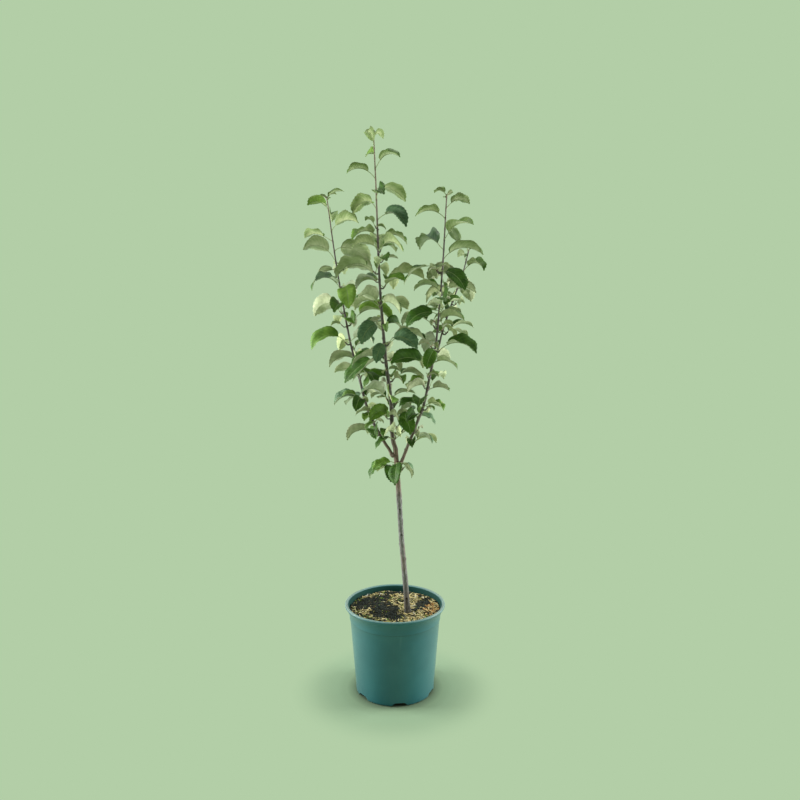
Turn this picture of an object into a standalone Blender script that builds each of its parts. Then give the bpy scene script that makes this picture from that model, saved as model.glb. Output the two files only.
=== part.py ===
# Dwarf apple tree in a round nursery pot: pot, soil, trunk, boughs and masses of leaves.
# Metres, +Z up, +X to the right of the front view, which looks along +Y.
# The origin is the centre of the pot's flat underside.

import math
import random

import bmesh
import bpy
import numpy as np
from mathutils.bvhtree import BVHTree

# Pot
POT_HEIGHT = 0.2267
POT_FOOT_R = 0.1012         # outside, just above the rounded foot
POT_BODY_TOP_R = 0.1153     # outside, under the collar
POT_RIM_R = 0.1290
COLLAR_FOOT = 0.1885        # height of the small step under the collar
POT_WALL = 0.0020
POT_FLOOR = 0.0030
POT_SIDES = 48
NOTCHES = 6                 # drainage notches round the foot
NOTCH_WIDTH = 0.042
NOTCH_HEIGHT = 0.0085
NOTCH_TURN = -83.0          # degrees from +X to the front notch

# Soil
SOIL_LEVEL = 0.2130
SOIL_HOLLOWS = 0.0040       # deepest dip of the soil's surface
SOIL_SIDES = 36
CLEAR = 0.0003              # air between pieces that touch

# Trunk
TRUNK_FOOT = (0.032, -0.034)
TRUNK_ROUTE = (
    (*TRUNK_FOOT, SOIL_LEVEL + CLEAR),
    (0.0265, -0.0265, 0.290),
    (0.0170, -0.0150, 0.396),
    (0.0095, -0.0060, 0.520),
    (0.0040, 0.0000, 0.594),
    (0.0015, 0.0000, 0.628),
)
TRUNK_FLARE_R = 0.0095
TRUNK_FOOT_R = 0.0072
TRUNK_TOP_R = 0.0060
FLARE_HEIGHT = 0.035
UNION_HEIGHT = 0.500        # the old graft union, a slight swelling
UNION_SWELL = 0.0009

# Leaves
PETIOLE_R = 0.0009
BLADE_THICK = 0.0014
BLADE_ASPECT = 0.58         # widest part over the blade's length
BLADE_FOLD = 30             # degrees that each half of the blade rises from the midrib
PETIOLE_SHARE = 0.30        # petiole over blade length
BLADE_CUTS = (0.0, 0.16, 0.42, 0.74, 1.0)
DIVERGENCE = 137.5          # degrees round the shoot from one leaf to the next
AIR_THICK = 0.0060          # air kept round a blade, as a thicker and wider blade
AIR_WIDER = 0.0020
HANGING_SHARE = 0.14        # share of the leaves that hang from a limp stalk
TRIES = 9                   # turns that a leaf may take to find room
WOOD_AIR = 0.0006           # air kept round a limb
TINY_EDGE = 0.00001         # corners nearer than this become one

# Spurs and shoots
SPUR_R = 0.0016
SPUR_LENGTH = 0.012
SPUR_STEP = 0.0028          # from one leaf to the next along a spur
SPUR_SIDES = 5
SHOOT_STEP = 0.026          # from one leaf to the next along a shoot

# Each limb: the limb it joins, at what height and on which side (none: it goes on from the end),
# its route after the joint, the radii at its foot and last bud, where the bough ends and the leafy
# shoot goes on, how many spurs it carries between which shares of its length, leaves to its lowest
# and highest spur, the side that the first spur faces, the blade lengths low and high, and a seed.
LIMBS = {
    "leader": dict(
        joins=("trunk", None, None),
        route=((-0.0060, 0.0005, 0.6600), (-0.0100, 0.0000, 0.7520), (-0.0220, 0.0000, 0.8470),
               (-0.0370, 0.0000, 1.0380), (-0.0460, 0.0000, 1.2830), (-0.0510, 0.0000, 1.3940)),
        radii=(0.0056, 0.0014), shoot=0.72, spurs=12, span=(0.04, 0.69), leaves=(5, 3),
        faces=-50, blades=(0.074, 0.090), seed=214),
    "left_bough": dict(
        joins=("trunk", 0.6120, 172),
        route=((-0.0150, 0.0020, 0.6270), (-0.0260, 0.0040, 0.6430), (-0.0560, 0.0120, 0.6960),
               (-0.0740, 0.0240, 0.7400), (-0.0970, 0.0400, 0.8290), (-0.1190, 0.0540, 0.9170),
               (-0.1500, 0.0720, 1.0900), (-0.1740, 0.0820, 1.2620)),
        radii=(0.0042, 0.0015), shoot=0.74, spurs=10, span=(0.10, 0.71), leaves=(4, 3),
        faces=210, blades=(0.064, 0.096), seed=167),
    "right_bough": dict(
        joins=("trunk", 0.5890, -12),
        route=((0.0205, -0.0025, 0.6040), (0.0280, -0.0040, 0.6240), (0.0540, -0.0120, 0.6920),
               (0.0720, -0.0200, 0.7420), (0.0860, -0.0300, 0.8130), (0.1000, -0.0420, 0.8900),
               (0.1140, -0.0590, 1.0720), (0.1220, -0.0700, 1.2380)),
        radii=(0.0043, 0.0015), shoot=0.76, spurs=10, span=(0.11, 0.73), leaves=(4, 3),
        faces=-20, blades=(0.062, 0.092), seed=10),
    "right_side_shoot": dict(
        joins=("right_bough", 0.8660, 52),
        route=((0.1090, -0.0260, 0.8900), (0.1185, -0.0120, 0.9250), (0.1440, 0.0100, 0.9980),
               (0.1680, 0.0320, 1.0590), (0.1870, 0.0550, 1.1260)),
        radii=(0.0026, 0.0014), shoot=0.58, spurs=3, span=(0.20, 0.54), leaves=(4, 3),
        faces=0, blades=(0.070, 0.078), seed=316),
}
JOINT_STUB = 0.0035         # how far a bough stands straight out before it turns up
RING_STEP = 0.025           # between the rings of a limb's surface
TRUNK_SIDES = 14
BOUGH_SIDES = 8
# Spurs low on the trunk, at the fork: height, side faced, leaves, blade length.
TRUNK_SPURS = ((0.590, -94, 3, 0.066), (0.580, 165, 4, 0.060), (0.572, 12, 2, 0.042))
TRUNK_HANG = -1.1           # how much their leaves hang
TRUNK_SEED = 13

COLOURS = {
    "pot": ((0.048, 0.135, 0.120), 0.42),
    "soil": ((0.150, 0.115, 0.055), 0.95),
    "trunk": ((0.160, 0.115, 0.088), 0.80),
    "bough": ((0.075, 0.058, 0.050), 0.75),
    "leaves": ((0.060, 0.150, 0.032), 0.55),
}


# Small helpers

def unit(vector):
    return vector / np.linalg.norm(vector)


def heading(azimuth, elevation):
    """Unit vector at an azimuth from +X and an elevation, both in degrees."""
    turn, lift = math.radians(azimuth), math.radians(elevation)
    return np.array((math.cos(turn) * math.cos(lift), math.sin(turn) * math.cos(lift), math.sin(lift)))


def smooth_route(points, steps=12):
    """Points read from one smooth curve through a route's own points."""
    knots = [np.array(point, float) for point in points]
    knots = [2 * knots[0] - knots[1]] + knots + [2 * knots[-1] - knots[-2]]
    curve = []
    for a, b, c, d in zip(knots, knots[1:], knots[2:], knots[3:]):
        for step in range(steps):
            t = step / steps
            curve.append(0.5 * (2 * b + (c - a) * t + (2 * a - 5 * b + 4 * c - d) * t * t
                                + (3 * b - a - 3 * c + d) * t ** 3))
    curve.append(knots[-2])
    return np.array(curve)


class Limb:
    """A route measured along its length, with the limb's radius at each share of it."""

    def __init__(self, route, radius_at, foot_run):
        self.curve = smooth_route(route)
        self.foot_run = foot_run
        steps = np.linalg.norm(np.diff(self.curve, axis=0), axis=1)
        self.marks = np.concatenate(((0.0,), np.cumsum(steps)))
        self.length = self.marks[-1]
        self.radius = radius_at

    def point(self, share):
        return np.array([np.interp(share * self.length, self.marks, self.curve[:, k]) for k in range(3)])

    def along(self, share):
        low, high = max(share - 0.01, 0.0), min(share + 0.01, 1.0)
        return unit(self.point(high) - self.point(low))

    def share_at(self, height):
        return np.interp(height, self.curve[:, 2], self.marks) / self.length

    def outward(self, share, azimuth):
        """The direction square to the limb that faces an azimuth."""
        run, out = self.along(share), heading(azimuth, 0)
        return unit(out - run * np.dot(out, run))


def branch(parent, height, azimuth, route, radius_at):
    """A limb that stands on another's side, or goes on from its end, just clear of it."""
    if height is None:
        run = parent.along(1.0)
        foot = parent.point(1.0) + run * CLEAR
        return Limb((foot,) + route, radius_at, run)
    share = parent.share_at(height)
    out = parent.outward(share, azimuth)
    foot = parent.point(share) + out * (parent.radius(share) + CLEAR)
    return Limb((foot, foot + out * JOINT_STUB) + route, radius_at, out)


def trunk_radius(share):
    height = share * (TRUNK_ROUTE[-1][2] - SOIL_LEVEL)
    flare = (TRUNK_FLARE_R - TRUNK_FOOT_R) * max(0.0, 1 - height / FLARE_HEIGHT) ** 2
    swell = UNION_SWELL * math.exp(-((height + SOIL_LEVEL - UNION_HEIGHT) / 0.020) ** 2)
    return TRUNK_FOOT_R + (TRUNK_TOP_R - TRUNK_FOOT_R) * share + flare + swell


def bough_radius(foot, tip):
    return lambda share: foot + (tip - foot) * share ** 0.8


def material(kind):
    colour, roughness = COLOURS[kind]
    made = bpy.data.materials.get(kind) or bpy.data.materials.new(kind)
    made.use_nodes = True
    shader = made.node_tree.nodes["Principled BSDF"]
    shader.inputs["Base Color"].default_value = (*colour, 1.0)
    shader.inputs["Roughness"].default_value = roughness
    shader.inputs["Metallic"].default_value = 0.0
    return made


def add_object(name, verts, faces, kind):
    mesh = bpy.data.meshes.new(name)
    mesh.from_pydata([tuple(v) for v in verts], [], faces)
    mesh.materials.append(material(kind))
    mesh.shade_smooth()
    mesh.set_sharp_from_angle(angle=math.radians(40))
    made = bpy.data.objects.new(name, mesh)
    bpy.context.scene.collection.objects.link(made)
    return made


def skin(rings, folded=False):
    """Closed surface over rings of equal count, which may end in a single point.

    Folded splits every side of a thin V section the same way, so its faces never cross.
    """
    verts, faces, starts = [], [], []
    for ring in rings:
        starts.append(len(verts))
        verts.extend(ring)
    for a, b, here, there in zip(starts, starts[1:], rings, rings[1:]):
        count = len(here)
        for k in range(count):
            after = (k + 1) % count
            if len(there) == 1:
                faces.append((a + k, a + after, b))
            elif folded and k % 2:
                faces.extend(((a + k, a + after, b + k), (a + after, b + after, b + k)))
            elif folded:
                faces.extend(((a + k, a + after, b + after), (a + k, b + after, b + k)))
            else:
                faces.append((a + k, a + after, b + after, b + k))
    faces.append(tuple(reversed(range(len(rings[0])))))
    if len(rings[-1]) > 1:
        faces.append(tuple(range(starts[-1], starts[-1] + len(rings[-1]))))
    return verts, faces


def tube(points, radii, sides, ends=(None, None)):
    """Rings round a run of points, square to it. A given direction squares an end ring to itself."""
    points = [np.array(point, float) for point in points]
    side = None
    rings = []
    last = len(points) - 1
    for k, (centre, radius) in enumerate(zip(points, radii)):
        run = unit(points[min(k + 1, last)] - points[max(k - 1, 0)])
        if k == 0 and ends[0] is not None:
            run = ends[0]
        if k == last and ends[1] is not None:
            run = ends[1]
        if side is None:
            side = np.cross(run, (0.31, 0.95, 0.0))
        side = unit(side - run * np.dot(side, run))
        other = np.cross(run, side)
        turns = [2 * math.pi * j / sides for j in range(sides)]
        rings.append([centre + radius * (math.cos(t) * side + math.sin(t) * other) for t in turns])
    return skin(rings)


# Pot and soil

def pot_profile():
    """Outside from the underside up, over the rolled lip, and down the inside to the floor."""
    inner_top = POT_BODY_TOP_R + 0.0027
    outside = [
        (POT_FOOT_R - 0.0027, 0.0),
        (POT_FOOT_R - 0.0008, 0.0022),
        (POT_FOOT_R, 0.0120),
        (POT_BODY_TOP_R, COLLAR_FOOT - 0.0015),
        (POT_BODY_TOP_R + 0.0010, COLLAR_FOOT),
        (POT_BODY_TOP_R + 0.0020, COLLAR_FOOT + 0.0085),
        (POT_BODY_TOP_R + 0.0044, COLLAR_FOOT + 0.0180),
        (POT_RIM_R - 0.0052, POT_HEIGHT - 0.0128),
        (POT_RIM_R - 0.0018, POT_HEIGHT - 0.0096),
        (POT_RIM_R, POT_HEIGHT - 0.0062),
        (POT_RIM_R - 0.0004, POT_HEIGHT - 0.0026),
        (POT_RIM_R - 0.0028, POT_HEIGHT),
    ]
    inside = [
        (POT_RIM_R - 0.0065, POT_HEIGHT - 0.0005),
        (inner_top + 0.0016, POT_HEIGHT - 0.0036),
        (inner_top, SOIL_LEVEL - 0.0010),
        (POT_BODY_TOP_R - POT_WALL, COLLAR_FOOT - 0.0015),
        (POT_FOOT_R - POT_WALL, 0.0120),
        (POT_FOOT_R - 0.0040, POT_FLOOR),
    ]
    return outside + inside


def turned(profile, sides):
    rings = []
    for radius, height in profile:
        turns = [2 * math.pi * (k + 0.5) / sides for k in range(sides)]
        rings.append([np.array((radius * math.cos(t), radius * math.sin(t), height)) for t in turns])
    return skin(rings)


def notch_cutter(number):
    """A tapered block across the pot's foot, wider at the ground."""
    low, high = NOTCH_WIDTH / 2, NOTCH_WIDTH / 2 - 0.0085
    inner, outer = POT_FOOT_R - 0.0090, POT_FOOT_R + 0.0100
    section = ((-low - 0.004, -0.004), (low + 0.004, -0.004), (high, NOTCH_HEIGHT), (-high, NOTCH_HEIGHT))
    turn = math.radians(NOTCH_TURN + 360 / NOTCHES * number)
    out = np.array((math.cos(turn), math.sin(turn), 0.0))
    across = np.array((-math.sin(turn), math.cos(turn), 0.0))
    up = np.array((0.0, 0.0, 1.0))
    rings = [[out * r + across * a + up * z for a, z in section] for r in (inner, outer)]
    cutter = add_object(f"notch_cutter_{number}", *skin(rings), "pot")
    cutter.hide_render = True
    cutter.display_type = "WIRE"
    return cutter


def make_pot():
    pot = add_object("pot", *turned(pot_profile(), POT_SIDES), "pot")
    for number in range(NOTCHES):
        cut = pot.modifiers.new(f"notch_{number}", "BOOLEAN")
        cut.operation = "DIFFERENCE"
        cut.object = notch_cutter(number)
    return pot


def soil_dip(x, y):
    """Depth of the soil's surface below its level, none at the trunk's foot."""
    waves = math.sin(61 * x + 1.0) * math.cos(53 * y) + 0.6 * math.sin(97 * y + 47 * x + 2.0)
    away = math.hypot(x - TRUNK_FOOT[0], y - TRUNK_FOOT[1])
    fade = min(1.0, max(0.0, (away - 0.030) / 0.030))
    return SOIL_HOLLOWS * fade * (0.5 + waves / 3.2)


def make_soil():
    wall_at_top = POT_BODY_TOP_R + 0.0024
    foot = POT_FOOT_R - 0.0046
    neck = POT_BODY_TOP_R - POT_WALL - 0.0008
    sides = [(foot, POT_FLOOR + CLEAR), (POT_FOOT_R - POT_WALL - 0.0008, 0.0130),
             (neck, COLLAR_FOOT - 0.0020), (wall_at_top - 0.0010, SOIL_LEVEL - 0.0050)]
    rings = []
    for radius, height in sides:
        turns = [2 * math.pi * (k + 0.5) / SOIL_SIDES for k in range(SOIL_SIDES)]
        rings.append([np.array((radius * math.cos(t), radius * math.sin(t), height)) for t in turns])
    for radius in (0.1130, 0.0950, 0.0760, 0.0560, 0.0360, 0.0170):
        ring = []
        for k in range(SOIL_SIDES):
            t = 2 * math.pi * (k + 0.5) / SOIL_SIDES
            x, y = radius * math.cos(t), radius * math.sin(t)
            ring.append(np.array((x, y, SOIL_LEVEL - soil_dip(x, y))))
        rings.append(ring)
    rings.append([np.array((0.0, 0.0, SOIL_LEVEL - soil_dip(0.0, 0.0)))])
    return add_object("soil", *skin(rings), "soil")


# Leaves

def blade_width(share):
    """Half width of the blade at a share of its length, as a share of the widest half."""
    return 2.26 * share ** 0.5 * (1 - share) ** 0.7


def leaf_spine(leaf):
    """The petiole's and the blade's middle line, in equal steps, with its direction at each."""
    steps_petiole, steps_blade = 6, 24
    lifts, lengths = [], []
    for k in range(steps_petiole):
        lifts.append(leaf["lift"] + (leaf["rise"] - leaf["lift"]) * (k + 0.5) / steps_petiole)
        lengths.append(leaf["petiole"] / steps_petiole)
    for k in range(steps_blade):
        share = (k + 0.5) / steps_blade
        lifts.append(leaf["rise"] + (leaf["droop"] - leaf["rise"]) * share ** 0.9)
        lengths.append(leaf["blade"] / steps_blade)
    points, runs = [leaf["root"]], []
    for k, (lift, length) in enumerate(zip(lifts, lengths)):
        azimuth = leaf["azimuth"] + leaf["sweep"] * k / len(lifts)
        runs.append(heading(azimuth, lift))
        points.append(points[-1] + runs[-1] * length)
    runs.append(runs[-1])
    return points, runs, steps_petiole


def leaf_frame(leaf, run, share):
    """The blade's side and upward directions at a share of its length."""
    azimuth = leaf["azimuth"] + leaf["sweep"] * (0.2 + 0.8 * share)
    side = heading(azimuth + 90, 0)
    side = unit(side - run * np.dot(side, run))
    up = np.cross(run, side)
    roll = math.radians(leaf["roll"])
    return side * math.cos(roll) + up * math.sin(roll), up * math.cos(roll) - side * math.sin(roll)


def leaf_rings(leaf, thick=BLADE_THICK, wider=0.0, from_blade=False):
    """Four-cornered rings from the petiole's root to the blade's tip."""
    points, runs, first = leaf_spine(leaf)
    steps = len(points) - 1 - first
    fold = math.radians(BLADE_FOLD)
    rings = []
    if not from_blade:
        for index in (0, first // 2):
            side, up = leaf_frame(leaf, runs[index], 0)
            r = PETIOLE_R + wider / 2
            here = points[index]
            rings.append([here + side * r, here + up * r, here - side * r, here - up * r])
    for share in BLADE_CUTS[:-1]:
        index = first + round(share * steps)
        side, up = leaf_frame(leaf, runs[index], share)
        half = BLADE_ASPECT / 2 * leaf["blade"] * blade_width(share) + wider
        half = max(half, PETIOLE_R * 1.3 + wider)
        lift = up * math.sin(fold) * (half if share else 0.0)
        half *= math.cos(fold)
        here = points[index]
        top, under = here + up * thick / 2, here - up * thick / 2
        rings.append([here + side * half + lift, top, here - side * half + lift, under])
    rings.append([points[-1]])
    return rings


def leaf_room(leaf):
    """The leaf's own surface and the surface of the air kept round its blade."""
    body = BVHTree.FromPolygons(*skin(leaf_rings(leaf)))
    air = BVHTree.FromPolygons(*skin(leaf_rings(leaf, AIR_THICK, AIR_WIDER, True)))
    return body, air


def find_room(leaf, wood, own, others):
    """Turns the leaf round its root until it is clear of all wood and leaves, or gives up."""
    for turn in range(TRIES):
        trial = dict(leaf)
        swing = 24 * ((turn + 1) // 2) * (-1) ** turn
        trial["azimuth"] = leaf["azimuth"] + swing
        body, air = leaf_room(trial)
        hits_wood = any(air.overlap(limb) for limb in wood.values())
        hits_wood |= any(body.overlap(limb) for name, limb in wood.items() if name != own)
        hits_leaf = any(air.overlap(other) or body.overlap(gap) for other, gap in others)
        if not hits_wood and not hits_leaf:
            trial["body"], trial["air"] = body, air
            return trial
    return None


def new_leaf(rng, root, azimuth, blade, upright=0.0):
    """One leaf's measures. Upright above zero stands up more, and below zero hangs."""
    hangs = 1.0 if rng.random() < HANGING_SHARE else 0.0
    return {
        "root": root,
        "azimuth": azimuth + rng.uniform(-18, 18),
        "blade": blade * rng.uniform(0.76, 1.10),
        "petiole": blade * PETIOLE_SHARE * rng.uniform(0.75, 1.25),
        "lift": rng.uniform(28, 66) + 18 * upright,
        "rise": rng.uniform(8, 46) + 22 * upright - 40 * hangs,
        "droop": max(-87, rng.uniform(-76, -28) + 26 * upright - 20 * hangs),
        "sweep": rng.uniform(-28, 28),
        "roll": rng.uniform(-55, 55),
    }


# Growth: where every spur, shoot and leaf stands

def spur_stem(limb, share, azimuth):
    """Points of a short spur that stands out of a limb, clear of its bark, and turns up."""
    out = limb.outward(share, azimuth)
    start = limb.point(share) + out * (limb.radius(share) + CLEAR)
    bend = start + out * SPUR_LENGTH * 0.45
    end = bend + unit(out + np.array((0.0, 0.0, 1.1))) * SPUR_LENGTH * 0.55
    return [start, bend, end], out


def grow_spur(limb, share, azimuth, count, blade, rng, upright=0.0):
    points, out = spur_stem(limb, share, azimuth)
    leaves = []
    for k in range(count):
        back = k * SPUR_STEP
        root = points[2] + (points[1] - points[2]) * min(1.0, (0.0008 + back) / (SPUR_LENGTH * 0.55))
        size = blade * (1.0 - 0.11 * (k % 3))
        leaves.append(new_leaf(rng, root, azimuth + DIVERGENCE * k, size, upright))
    radii = [SPUR_R * 1.15, SPUR_R, SPUR_R * 0.75]
    return {"points": points, "radii": radii, "ends": (out, None), "leaves": leaves}


def grow_shoot(limb, first_share, blade, azimuth, rng):
    """The leafy end of a limb, one leaf at each bud, smaller and more upright towards the tip."""
    start = first_share + CLEAR / limb.length
    cuts = np.linspace(start, 1.0, 7)
    points = [limb.point(share) for share in cuts]
    radii = [limb.radius(share) for share in cuts]
    count = int((1.0 - start) * limb.length / SHOOT_STEP)
    leaves = []
    for k in range(count + 1):
        share = start + (1.0 - start) * (k + 0.55) / (count + 0.75)
        youth = k / count
        size = blade * (1.0 - 0.52 * youth ** 1.4)
        leaves.append(new_leaf(rng, limb.point(min(share, 0.998)), azimuth + 144 * k, size, youth ** 2))
    return {"points": points, "radii": radii, "ends": (limb.along(first_share), None), "leaves": leaves}


def grow_limb(name, plan, limb):
    """Every mass on one limb, from its tip down."""
    masses = {}
    rng = random.Random(plan["seed"])
    low, high = plan["blades"]
    masses[f"{name}_tip_leaves"] = grow_shoot(limb, plan["shoot"], high, plan["faces"] + 30, rng)
    first, last = plan["span"]
    for k in reversed(range(plan["spurs"])):
        share = first + (last - first) * (k + rng.uniform(-0.2, 0.2)) / max(1, plan["spurs"] - 1)
        blade = low + (high - low) * min(1.0, 1.5 * k / plan["spurs"])
        azimuth = plan["faces"] + 144 * k + rng.uniform(-16, 16)
        few, many = plan["leaves"][1], plan["leaves"][0]
        count = round(many + (few - many) * k / max(1, plan["spurs"] - 1))
        spur = grow_spur(limb, share, azimuth, count, blade, rng)
        masses[f"{name}_leaves_{k + 1:02d}"] = spur
    return masses


def grow_trunk_spurs(limb):
    masses = {}
    rng = random.Random(TRUNK_SEED)
    for k, (height, azimuth, count, blade) in enumerate(TRUNK_SPURS):
        share = limb.share_at(height)
        spur = grow_spur(limb, share, azimuth, count, blade, rng, TRUNK_HANG)
        masses[f"fork_leaves_{k + 1:02d}"] = spur
    return masses


def solid_of(points, radii, sides, ends=(None, None)):
    return BVHTree.FromPolygons(*tube(points, radii, sides, ends))


def grow_tree(limbs):
    """All masses, with the leaves that found room. Limbs and stems are in place before any leaf."""
    masses = {}
    for name, plan in LIMBS.items():
        masses.update(grow_limb(name, plan, limbs[name]))
    masses.update(grow_trunk_spurs(limbs["trunk"]))
    wood = {}
    for name, limb in limbs.items():
        end = LIMBS[name]["shoot"] if name in LIMBS else 1.0
        cuts = np.linspace(0.0, end, 4 + int(limb.length * end / RING_STEP))
        radii = [limb.radius(cut) + WOOD_AIR for cut in cuts]
        wood[name] = solid_of([limb.point(cut) for cut in cuts], radii, BOUGH_SIDES)
    for name, mass in masses.items():
        wood[name] = solid_of(mass["points"], mass["radii"], SPUR_SIDES)
    placed = []
    for name, mass in masses.items():
        kept = []
        for leaf in mass["leaves"]:
            found = find_room(leaf, wood, name, placed)
            if found:
                kept.append(found)
                placed.append((found["body"], found["air"]))
        mass["leaves"] = kept
    return masses


# Solids

def largest_body(mesh):
    """Leaves only the body with the most faces, without scraps, sealed hollows or tiny edges."""
    work = bmesh.new()
    work.from_mesh(mesh)
    left, bodies = set(work.verts), []
    while left:
        body, edge = set(), [left.pop()]
        while edge:
            vert = edge.pop()
            body.add(vert)
            near = {link.other_vert(vert) for link in vert.link_edges} & left
            left -= near
            edge.extend(near)
        bodies.append(body)
    bodies.sort(key=len)
    scrap = [vert for body in bodies[:-1] for vert in body]
    bmesh.ops.delete(work, geom=scrap, context="VERTS")
    bmesh.ops.remove_doubles(work, verts=list(work.verts), dist=TINY_EDGE)
    work.to_mesh(mesh)
    work.free()


def fuse(stem, parts):
    """Joins the parts to the stem with one Boolean union on a collection, and applies it."""
    group = bpy.data.collections.new(f"{stem.name}_parts")
    bpy.context.scene.collection.children.link(group)
    for part in parts:
        bpy.context.scene.collection.objects.unlink(part)
        group.objects.link(part)
    union = stem.modifiers.new("union", "BOOLEAN")
    union.operation = "UNION"
    union.operand_type = "COLLECTION"
    union.collection = group
    union.solver = "EXACT"
    view = bpy.context.evaluated_depsgraph_get()
    fused = bpy.data.meshes.new_from_object(stem.evaluated_get(view))
    stem.modifiers.clear()
    old, stem.data = stem.data, fused
    bpy.data.meshes.remove(old)
    for part in parts:
        bpy.data.meshes.remove(part.data)
    bpy.data.collections.remove(group)
    fused.name = stem.name
    largest_body(fused)
    return stem


def make_mass(name, mass):
    sides = SPUR_SIDES if len(mass["points"]) == 3 else 6
    stem = add_object(name, *tube(mass["points"], mass["radii"], sides, mass["ends"]), "leaves")
    blades = [add_object(f"{name}_part_{k}", *skin(leaf_rings(leaf), True), "leaves")
              for k, leaf in enumerate(mass["leaves"])]
    return fuse(stem, blades)


def make_limb(name, limb, end, sides, kind):
    """One tapering limb from its foot to a share of its route."""
    cuts = np.linspace(0.0, end, 4 + int(limb.length * end / RING_STEP))
    points = [limb.point(cut) for cut in cuts]
    radii = [limb.radius(cut) for cut in cuts]
    solid = tube(points, radii, sides, (limb.foot_run, limb.along(end)))
    return add_object(name, *solid, kind)


def main():
    for old in list(bpy.data.objects):
        bpy.data.objects.remove(old)
    make_pot()
    make_soil()
    limbs = {"trunk": Limb(TRUNK_ROUTE, trunk_radius, np.array((0.0, 0.0, 1.0)))}
    for name, plan in LIMBS.items():
        parent, height, azimuth = plan["joins"]
        radius_at = bough_radius(*plan["radii"])
        limbs[name] = branch(limbs[parent], height, azimuth, plan["route"], radius_at)
    make_limb("trunk", limbs["trunk"], 1.0, TRUNK_SIDES, "trunk")
    for name, plan in LIMBS.items():
        make_limb(name, limbs[name], plan["shoot"], BOUGH_SIDES, "bough")
    for name, mass in grow_tree(limbs).items():
        make_mass(name, mass)


main()
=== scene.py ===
# The finish of a dwarf apple tree in a round nursery pot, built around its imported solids.
# Metres, +Z up, +X to the right of the front view, which looks along +Y.
# The tree grows here by the same rule as the solids: limbs, then spurs and shoots, then leaves
# that turn until they find room. After that come finer twigs and small leaves in the space left.

import math
import random

import bmesh
import bpy
import numpy as np
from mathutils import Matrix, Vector, noise
from mathutils.bvhtree import BVHTree


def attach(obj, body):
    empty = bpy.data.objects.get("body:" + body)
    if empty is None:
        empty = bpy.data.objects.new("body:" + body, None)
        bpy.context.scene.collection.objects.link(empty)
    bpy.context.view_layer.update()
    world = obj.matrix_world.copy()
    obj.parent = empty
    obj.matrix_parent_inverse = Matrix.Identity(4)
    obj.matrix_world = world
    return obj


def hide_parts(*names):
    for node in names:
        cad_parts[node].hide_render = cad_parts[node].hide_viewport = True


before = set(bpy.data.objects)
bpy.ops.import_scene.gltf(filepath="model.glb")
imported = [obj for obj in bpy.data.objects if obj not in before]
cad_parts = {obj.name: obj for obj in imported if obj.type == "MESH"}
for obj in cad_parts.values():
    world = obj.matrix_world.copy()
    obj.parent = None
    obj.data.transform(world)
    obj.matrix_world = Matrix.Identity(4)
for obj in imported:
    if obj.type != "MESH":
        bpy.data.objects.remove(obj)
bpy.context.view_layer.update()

# Pot
POT_HEIGHT = 0.2267
POT_FOOT_R = 0.1012         # outside, just above the rounded foot
POT_BODY_TOP_R = 0.1153     # outside, under the collar
POT_RIM_R = 0.1290
COLLAR_FOOT = 0.1885        # height of the small step under the collar
COLLAR_STEP = 0.0013        # how far the collar stands out there
COLLAR_FLARE = 2.3          # how late the collar swings out to the lip
POT_WALL = 0.0020
POT_FLOOR = 0.0030
POT_SIDES = 144
FOOT_EDGE_R = 0.0027        # rounding of the foot's outer edge
FOOT_EDGE_IN = 0.0028       # how far in and up the middle of that rounding lies
WALL_FOOT = 0.0120          # height where the straight wall starts
LIP_R = 0.0031              # the rolled lip's own radius
NOTCHES = 6                 # drainage notches round the foot
NOTCH_WIDTH = 0.042
NOTCH_HEIGHT = 0.0085
NOTCH_TURN = -83.0          # degrees from +X to the front notch
NOTCH_TOP_IN = 0.0085       # how much narrower each side of a notch is at its top
NOTCH_UNDER = 0.0040        # how far its cutter reaches under the ground, and wider there
NOTCH_REACH = 0.0190        # how deep its cutter is, through the wall
NOTCH_CORNER = 0.0042       # rounding of its upper corners

# Soil
SOIL_LEVEL = 0.2130
SOIL_HOLLOWS = 0.0040       # deepest dip of the soil's surface
SOIL_TOP_R = 0.1168
SOIL_RELIEF = 0.0016
CLEAR = 0.0003

# Trunk
TRUNK_FOOT = (0.032, -0.034)
TRUNK_ROUTE = (
    (*TRUNK_FOOT, SOIL_LEVEL + CLEAR),
    (0.0265, -0.0265, 0.290),
    (0.0170, -0.0150, 0.396),
    (0.0095, -0.0060, 0.520),
    (0.0040, 0.0000, 0.594),
    (0.0015, 0.0000, 0.628),
)
TRUNK_FLARE_R = 0.0095
TRUNK_FOOT_R = 0.0072
TRUNK_TOP_R = 0.0060
FLARE_HEIGHT = 0.035
UNION_HEIGHT = 0.500        # the old graft union, a slight swelling
UNION_SWELL = 0.0009

# Leaves
PETIOLE_R = 0.0009
BLADE_THICK = 0.0014        # of the plain blades that the room is tested with
BLADE_ASPECT = 0.58         # widest part over the blade's length
BLADE_FOLD = 30             # degrees that each half of the blade rises from the midrib
PETIOLE_SHARE = 0.30        # petiole over blade length
BLADE_CUTS = (0.0, 0.16, 0.42, 0.74, 1.0)
DIVERGENCE = 137.5          # degrees round a spur from one leaf to the next
TURN_SPREAD = 18            # degrees that a leaf may stand off its own side
BLADE_SPREAD = (0.76, 1.10)
PETIOLE_SPREAD = (0.75, 1.25)
LIFT = (28, 66)             # the petiole's slope at its root, in degrees, and more if upright
RISE = (8, 46)              # the blade's slope at its foot
DROOP = (-76, -28)          # the blade's slope at its tip
STEEPEST = -87
LIMP = (40, 20)             # how much lower a hanging leaf's rise and droop are
UPRIGHT = (18, 22, 26)      # what being upright adds to lift, rise and droop
SWEEP = 28                  # degrees that a leaf may curve to either side
ROLL = 55                   # degrees that a blade may turn on its midrib
AIR_THICK = 0.0060          # air kept round a blade, as a thicker and wider blade
AIR_WIDER = 0.0020
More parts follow.
